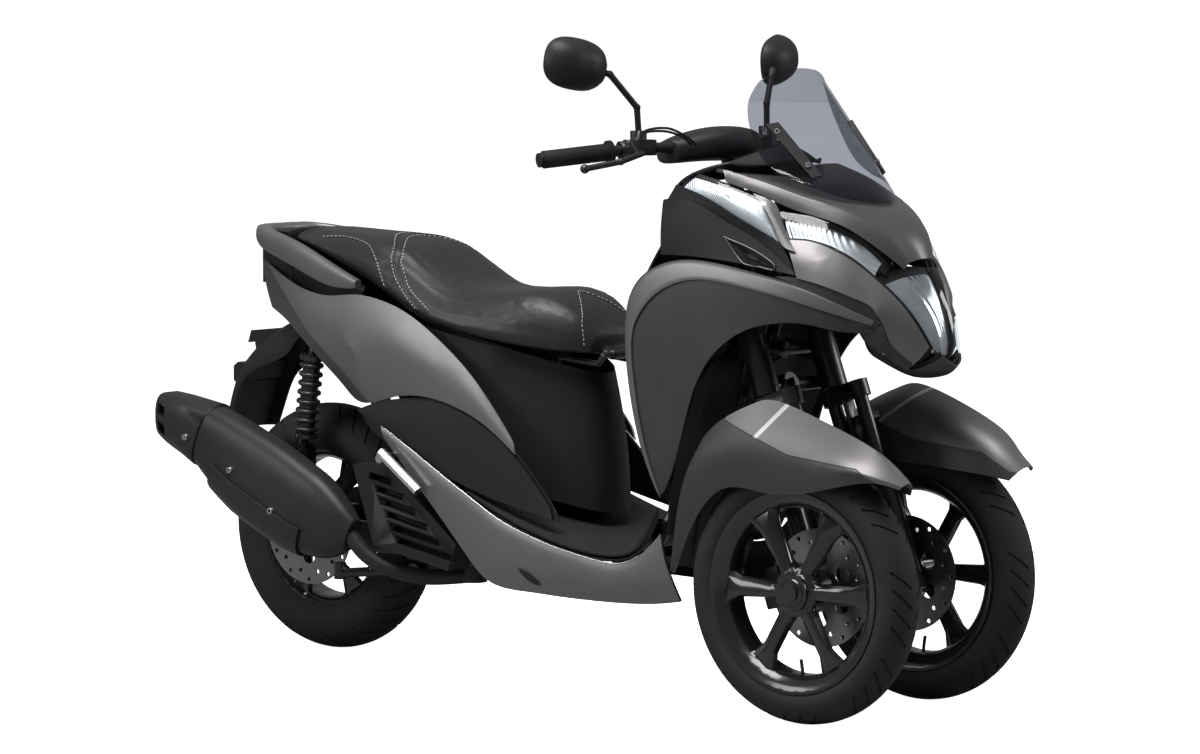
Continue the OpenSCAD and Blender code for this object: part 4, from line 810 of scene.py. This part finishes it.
patch("chin_tip", [[(66, -122, 742), (92, -122, 744), (120, -120, 746)],
                   [(76, -121, 722), (98, -120, 722), (122, -112, 722)],
                   [(92, -119, 706), (104, -111, 704), (124, -97, 702)]], THIN, paint_dark, "dark_grey")
patch("skirt_slot", [[(-673, -221, 241), (-643, -221, 234)],
                     [(-650, -213, 213), (-621, -214, 211)]], SLOT_THICK, plastic_black, "black_plastic")
patch("chin_fillet", [[(122, -121, 754), (104, -117, 734), (92, -119, 718)],
                      [(113, -113, 742), (108, -107, 720), (104, -99, 696)],
                      [(124, -88, 700), (124, -80, 684), (126, -72, 668)],
                      [(148, -58, 674), (142, -58, 666), (138, -60, 660)]], THIN, paint_dark, "dark_grey")
print("fillets made")

# %% [markdown]
# A raised band runs round the outer edge of each leg shield. Its two borders are drawn through a few points,
# filled with cross rows, and every point is then laid onto the shield and lifted off it.

# %% Bands on the leg shields
# Columns: inner border x, z and outer border x, z, then how far out they lie
BAND = [((-324, 408), (-330, 402), -220), ((-352, 490), (-372, 492), -228), ((-374, 592), (-397, 592), -230),
        ((-384, 695), (-409, 704), -232), ((-362, 752), (-396, 788), -233), ((-306, 800), (-342, 840), -233),
        ((-218, 822), (-240, 860), -232), ((-78, 803), (-80, 836), -226), ((32, 776), (28, 808), -204),
        ((112, 744), (122, 752), -132)]
BAND_ROWS, BAND_LIFT, BAND_THICK, BAND_ROUND = 5, 0.0022, 0.004, 0.0012
for side, label in SIDES:
    borders = [curve_through(from_axle([(ends[k][0], ends[2], ends[k][1]) for ends in BAND], side), steps=5)
               for k in (0, 1)]
    points = []
    for inner, outer in zip(*borders):
        points += [inner.lerp(outer, k / (BAND_ROWS - 1)) for k in range(BAND_ROWS)]
    points = laid_on(skins["leg_shields"], points, BAND_LIFT)
    band = weave("band", points, grid_faces(len(borders[0]), BAND_ROWS))
    apply(band, "SMOOTH", factor=0.5, iterations=3)
    apply(band, "SOLIDIFY", thickness=BAND_THICK, offset=0)
    apply(band, "BEVEL", width=BAND_ROUND, segments=2)
    smooth(band, 40)
    settle(band, f"shield_band_{label}", "chassis", "gunmetal", paint_grey)
print("shield bands made")

# %% [markdown]
# The skirt's upper edge catches a thin line of light. A bright bead, laid along the edge, gives it as a
# painted highlight.

# %% A painted highlight: a light bead along the upper edge of each skirt
HIGHLIGHT_BEAD = [(-1050, -184, 490), (-980, -192, 457), (-886, -204, 411), (-790, -213, 365), (-718, -219, 331),
        (-630, -222, 304), (-562, -223, 288), (-470, -224, 273), (-412, -224, 272), (-368, -223, 290)]
HIGHLIGHT_BEAD_LIFT, HIGHLIGHT_BEAD_RADIUS = 0.0004, 0.0013
for side, label in SIDES:
    # Each bead paints the edge highlight; the skirt itself has no such bead
    path = curve_through(from_axle(HIGHLIGHT_BEAD, side), steps=8)
    bead = tube("bead", laid_on(skins["side_skirts"], path, HIGHLIGHT_BEAD_LIFT), HIGHLIGHT_BEAD_RADIUS, sides=8)
    settle(bead, f"skirt_bead_{label}", "chassis", "alloy", alloy_satin)
print("skirt beads made")

# %% [markdown]
# Each intake panel has a framed mesh vent. Its frame is a bead round a few corners, and the mesh is a grid of
# thin wires, made by the Wireframe modifier.

# %% Vents in the intake panels
VENT = [(-178, 905), (-112, 884), (-62, 858), (-72, 846), (-128, 856)]
VENT_OUT, VENT_ROWS = -215, 4
VENT_RIM_LIFT, VENT_RIM_RADIUS = 0.0006, 0.0022
WIRE_LIFT, WIRE_THICK = 0.0008, 0.0011
for side, label in SIDES:
    corners = from_axle([(x, VENT_OUT, z) for x, z in VENT], side)
    ring = laid_on(skins["intake_panels"], curve_through(corners + corners[:1], steps=8), VENT_RIM_LIFT)
    rim = tube("vent_rim", ring, VENT_RIM_RADIUS, sides=8)
    heart = sum(ring, Vector()) / len(ring)
    points = [heart.lerp(p, k / VENT_ROWS) for k in range(1, VENT_ROWS + 1) for p in ring[:-1]]
    points = laid_on(skins["intake_panels"], points, WIRE_LIFT)
    wires = weave("vent_mesh", points, grid_faces(VENT_ROWS, len(ring) - 1, closed=True))
    apply(wires, "WIREFRAME", thickness=WIRE_THICK, use_even_offset=False)
    joined(f"vent_{label}", [rim, wires], "chassis", "black_plastic", plastic_gloss)
print("vents made")

# %% [markdown]
# Under the seat's rear half a dark deck closes the body between the tail panels. Each of its rows starts a
# little below the panels' upper edge, which is read from their skin, and runs straight across. Behind the
# seat, an upright wall and two pocket walls close the tail under the rail.

# %% Deck and walls under the seat's rear
DECK_X = (-0.73, -0.68, -0.62, -0.56, -0.50, -0.44, -0.39)
DECK_ACROSS = (-1, -0.5, 0, 0.5, 1)
DECK_DROP, DECK_INSET, DECK_NEAR = 0.026, 0.004, 0.012
REAR_WALL_END, REAR_WALL_Z = -0.772, (0.735, 0.775, 0.82, 0.860)
REAR_WALL_STEPS, REAR_WALL_THICK = 4, 0.004
POCKET_X, POCKET_Y, POCKET_Z = [-1472, -1440, -1408], -86, (762, 790, 818, 842)
SEAT_CLEAR = 0.012


def panel_top(x):
    near = [v.co for v in skins["tail_panels"].data.vertices if abs(v.co.x - x) < DECK_NEAR and v.co.y < 0]
    return max(near, key=lambda p: p.z)


points = []
for x in DECK_X:
    top = panel_top(x)
    points += [(x, k * (abs(top.y) - DECK_INSET), top.z - DECK_DROP) for k in DECK_ACROSS]
deck = sheet("tail_deck", points, len(DECK_X), len(DECK_ACROSS), THIN, offset=-1)
settle(deck, "tail_deck", "chassis", "black_plastic", plastic_black)
seat_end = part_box("seat")[0].x - SEAT_CLEAR
wall_x = [seat_end + k * (REAR_WALL_END - seat_end) / REAR_WALL_STEPS for k in range(REAR_WALL_STEPS + 1)]
points = [(x, 0, z) for x in wall_x for z in REAR_WALL_Z]
wall = sheet("tail_wall", points, len(wall_x), len(REAR_WALL_Z), REAR_WALL_THICK, levels=1)
settle(wall, "tail_wall", "chassis", "black_plastic", plastic_black)
pocket_x = POCKET_X + [(seat_end - FRONT_X) * 1000]
patch("tail_pocket", [[(x, POCKET_Y, z) for z in POCKET_Z] for x in pocket_x], THIN, plastic_black,
      "black_plastic")
print("deck made, seat ends at", round(seat_end, 3))

# %% [markdown]
# Bolts hold what the photograph shows held: the screen, the silencer and its guard. Each is a round head with
# a recess, turned to its seat. Caps close the front hubs, and valve stems stand in the rims.

# %% Bolts, hub caps and valve stems
SCREEN_BOLTS, SCREEN_BOLT_RADIUS = [(0.581, -0.123, 1.100), (0.645, -0.112, 1.038)], 0.0055
MUFFLER_BOLTS = [(-0.608, -0.243, 0.310), (-0.721, -0.243, 0.386), (-0.847, -0.243, 0.446)]
MUFFLER_BOLT_RADIUS = 0.007
# Columns: radius, height
HUB_CAP = [(0.027, -0.004), (0.027, 0.001), (0.025, 0.003), (0.017, 0.0042), (0.005, 0.0046)]
# Columns: out from the rim's middle, up from the axle
VALVE = [(0.012, -0.160), (0.014, -0.145), (0.018, -0.128)]
VALVE_RADIUS = 0.0035


def bolt(place, axis, radius):
    tall = radius * 0.8
    return turned("bolt", [(radius, -tall), (radius, tall * 0.7), (radius * 0.88, tall), (radius * 0.55, tall),
                           (radius * 0.5, tall * 0.2)], place, axis, 18)


screen_bolts = [bolt((x, s * y, z), (0.62, math.copysign(0.7, s * y), 0.35), SCREEN_BOLT_RADIUS)
                for x, y, z in SCREEN_BOLTS for s in (1, -1)]
joined("screen_bolts", screen_bolts, "chassis", "alloy", alloy_satin)
muffler_bolts = [bolt(place, (0, -1, 0), MUFFLER_BOLT_RADIUS) for place in MUFFLER_BOLTS]
joined("muffler_bolts", muffler_bolts, body_of["muffler"], "alloy", alloy_satin)
for name, out in (("rim_fr", -1), ("rim_fl", 1)):
    low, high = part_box(name)
    middle = (low + high) / 2
    face = low.y if out < 0 else high.y
    cap = turned("hub_cap", HUB_CAP, (middle.x, face, middle.z), (0, out, 0))
    path = curve_through([(middle.x, middle.y + out * y, middle.z + z) for y, z in VALVE], steps=5)
    joined(name + "_trim", [cap, tube("valve", path, VALVE_RADIUS)], body_of[name], "wheel_black", wheel_paint)
print("bolts", len(screen_bolts) + len(muffler_bolts), "and hub caps made")

# %% [markdown]
# Two throttle cables leave the right switch housing, rise over the bar and enter the bar cover. They are cords
# whose length is estimated from the photograph and printed, and they ride with the bar.

# %% Throttle cables
# Columns: x, y, z, and the share of the gap by which the second cable lies higher
CABLE_ROUTE = [(0.300, -0.212, 1.078, 0), (0.322, -0.204, 1.094, 0.5), (0.352, -0.176, 1.098, 0.5),
               (0.372, -0.146, 1.088, 0), (0.374, -0.118, 1.072, 0)]
CABLE_GAP, CABLE_RADIUS = 0.011, 0.0025
for k, shift in enumerate((0.0, CABLE_GAP)):
    path = curve_through([(x + shift, y, z + rise * shift) for x, y, z, rise in CABLE_ROUTE], steps=6)
    cable = tube(f"throttle_cable_{k}", path, CABLE_RADIUS)
    settle(cable, f"throttle_cable_{k}", body_of["bar_cover"], "grip_rubber", grip_rubber)
    long = sum((b - a).length for a, b in zip(path, path[1:]))
    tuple(path[0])
    print("cable", k, round(long, 4), "m")

# %% [markdown]
# The seat is foam under vinyl. A copy is remeshed into even cells, swollen by cloth pressure with its base
# held, and never moved by more than a few millimetres. How far a point is free follows its normal: the top
# swells fully, the sides less, and the base not at all.

# %% The seat cushion
SEAT_CELL, SEAT_SWELL = 0.006, 0.005
CLOTH_FRAMES, CLOTH_PRESSURE = 20, 4
FREE_FROM, FREE_SPAN = -0.1, 0.5
seat = copy_node("seat")
seat.data.remesh_voxel_size = SEAT_CELL
only(seat)
bpy.ops.object.voxel_remesh()
apply(seat, "SMOOTH", factor=0.5, iterations=5)
rest = [v.co.copy() for v in seat.data.vertices]
free = [max(0.0, min(1.0, (v.normal.z - FREE_FROM) / FREE_SPAN)) for v in seat.data.vertices]
held = seat.vertex_groups.new(name="held")
held.add([k for k, f in enumerate(free) if f <= 0], 1.0, "REPLACE")
only(seat)
cloth = seat.modifiers.new("Cloth", "CLOTH")
cloth.settings.quality = 4
cloth.settings.vertex_group_mass = "held"
cloth.settings.use_pressure = True
cloth.settings.uniform_pressure_force = CLOTH_PRESSURE
cloth.settings.effector_weights.gravity = 0
cloth.collision_settings.use_collision = False
for step in range(1, CLOTH_FRAMES + 1):
    bpy.context.scene.frame_set(step)
bpy.ops.object.modifier_apply(modifier=cloth.name)
for v, start, share in zip(seat.data.vertices, rest, free):
    move = v.co - start
    if move.length > SEAT_SWELL:
        move *= SEAT_SWELL / move.length
    v.co = start + move * share
bpy.context.scene.frame_set(1)
smooth(seat, 60)
settle(seat, "seat_cushion", body_of["seat"], slot_of["seat"], seat_vinyl)
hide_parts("seat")
print("seat points", len(seat.data.vertices))

# %% [markdown]
# The cover is sewn from panels. A welt marks each seam, and a row of stitches runs along it, beside the welt
# on the two cross seams and on top of it elsewhere. Both come after the swelling and are laid on the cushion.

# %% Seams and stitches on the seat
WELT_LIFT, WELT_RADIUS = 0.0002, 0.0014
STITCH_PITCH, STITCH_LONG, THREAD_RADIUS = 0.008, 0.0048, 0.0008
LIFT_BESIDE, LIFT_ON_TOP = 0.0006, 0.0014
THREAD_SHIFT = {"outer": -0.006, "inner": 0.006}


def both_sides(half):
    return [(x, -y, z) for x, y, z in reversed(half[1:])] + half


def stitches(path):
    points, faces, run = [], [], 0.0
    for a, b in zip(path, path[1:]):
        run += (b - a).length
        if run >= STITCH_PITCH:
            run = 0.0
            end = (b - a).normalized() * STITCH_LONG / 2
            spots = [a - end, a - end * 0.6, a + end * 0.6, a + end]
            more_points, more_faces = tube_mesh(spots, THREAD_RADIUS, 6, len(points))
            points += more_points
            faces += more_faces
    return points, faces


PILLION = [(-0.601, -0.096, 0.864), (-0.541, -0.089, 0.863), (-0.462, -0.110, 0.853), (-0.415, -0.135, 0.823),
           (-0.379, -0.146, 0.769)]
SEAMS = {"outer": both_sides([(-0.455, 0.0, 0.866), (-0.389, -0.103, 0.847), (-0.367, -0.138, 0.817),
                              (-0.334, -0.152, 0.775), (-0.283, -0.158, 0.729)]),
         "inner": both_sides([(-0.434, 0.0, 0.864), (-0.376, -0.103, 0.843), (-0.352, -0.137, 0.818),
                              (-0.317, -0.153, 0.771), (-0.261, -0.159, 0.730)]),
         "nose": both_sides([(0.004, 0.0, 0.767), (0.013, -0.016, 0.762), (0.071, -0.075, 0.715),
                             (0.082, -0.082, 0.672)]),
         "pillion_right": PILLION,
         "pillion_left": [(x, -y, z) for x, y, z in PILLION]}
for label, line in SEAMS.items():
    path = curve_through(line, steps=24)
    welt = tube(f"seam_{label}", laid_on(seat, path, WELT_LIFT), WELT_RADIUS, sides=8)
    settle(welt, f"seam_{label}", body_of["seat"], "seat_vinyl", seat_vinyl)
    beside = [p + Vector((THREAD_SHIFT.get(label, 0), 0, 0)) for p in path]
    lift = LIFT_BESIDE if label in THREAD_SHIFT else LIFT_ON_TOP
    thread = weave("thread", *stitches(laid_on(seat, beside, lift)))
    smooth(thread, 60)
    settle(thread, f"thread_{label}", body_of["seat"], "seat_vinyl", thread_grey)
print("seams", len(SEAMS))

# %% [markdown]
# The floor is plain and pale, and the light is soft: one large lamp overhead, two smaller ones, behind on the
# right and ahead on the left, and an even world. The background is white to the camera alone, through Light
# Path. The floor is lifted towards it in the same way and is dim to other rays, so the blacks stay black.

# %% Floor and world
FLOOR_GLOW, FLOOR_DIM, WORLD_LIGHT = 0.93, 0.30, 0.26


def to_camera(tree, shown, others, output):
    rays = tree.nodes.new("ShaderNodeLightPath")
    mix = tree.nodes.new("ShaderNodeMixShader")
    tree.links.new(rays.outputs["Is Camera Ray"], mix.inputs["Fac"])
    tree.links.new(others, mix.inputs[1])
    tree.links.new(shown, mix.inputs[2])
    tree.links.new(mix.outputs["Shader"], tree.nodes[output].inputs["Surface"])


bpy.ops.object.select_all(action="DESELECT")
bpy.ops.mesh.primitive_plane_add(size=80, location=(0, 0, 0))
ground = bpy.context.object
ground.name = "ground"
edit(ground)
bpy.ops.mesh.subdivide(number_cuts=3)
done()
pale = finish("pale_floor", (0.86, 0.86, 0.86), 0.85, grain=60, bump=0.0, mottle=0.01, specular=0.1)
tree = pale.node_tree
glow = node(tree, "ShaderNodeEmission", Color=(1, 1, 1, 1), Strength=FLOOR_GLOW)
dim = node(tree, "ShaderNodeBsdfDiffuse", Color=(FLOOR_DIM, FLOOR_DIM, FLOOR_DIM, 1))
lifted = tree.nodes.new("ShaderNodeAddShader")
tree.links.new(tree.nodes["Principled BSDF"].outputs["BSDF"], lifted.inputs[0])
tree.links.new(glow.outputs["Emission"], lifted.inputs[1])
to_camera(tree, lifted.outputs["Shader"], dim.outputs["BSDF"], "Material Output")
ground.data.materials.append(pale)
world = bpy.data.worlds.new("studio")
bpy.context.scene.world = world
world.use_nodes = True
tree = world.node_tree
even = tree.nodes["Background"]
even.inputs["Color"].default_value = (0.95, 0.96, 1.0, 1)
even.inputs["Strength"].default_value = WORLD_LIGHT
white = node(tree, "ShaderNodeBackground", Color=(1, 1, 1, 1), Strength=1.0)
to_camera(tree, white.outputs["Background"], even.outputs["Background"], "World Output")
print("floor and world ready")


# %% Lamps
LIT_SPOT = Vector((0, 0, 0.6))


def lamp(name, place, size, power):
    bpy.ops.object.light_add(type="AREA", location=place)
    made = bpy.context.object
    made.name = name
    made.data.size = size
    made.data.energy = power
    made.rotation_euler = (LIT_SPOT - Vector(place)).to_track_quat("-Z", "Y").to_euler()
    print("lamp", name, power, "W")


lamp("overhead", (0.2, -1.4, 4.3), 2.6, 300)
lamp("side", (-2.6, -4.2, 2.6), 1.8, 90)
lamp("far", (3.6, 2.8, 2.4), 1.6, 90)

# %% [markdown]
# The camera was solved from the photograph: a long lens about 8.8 m away, a little higher than the mirrors,
# looking at the right front quarter.

# %% Camera
EYE = Vector((5.5872, -6.8635, 1.3491))
AIM = Vector((0.0560, 0.0, 0.6025))
bpy.ops.object.camera_add(location=EYE)
camera = bpy.context.object
camera.rotation_euler = (AIM - EYE).to_track_quat("-Z", "Y").to_euler()
camera.data.sensor_width = 36
camera.data.lens = 134.15
camera.data.clip_end = 100
bpy.context.scene.camera = camera
bpy.context.scene.view_settings.view_transform = "Standard"
print("camera distance", round((AIM - EYE).length, 2))
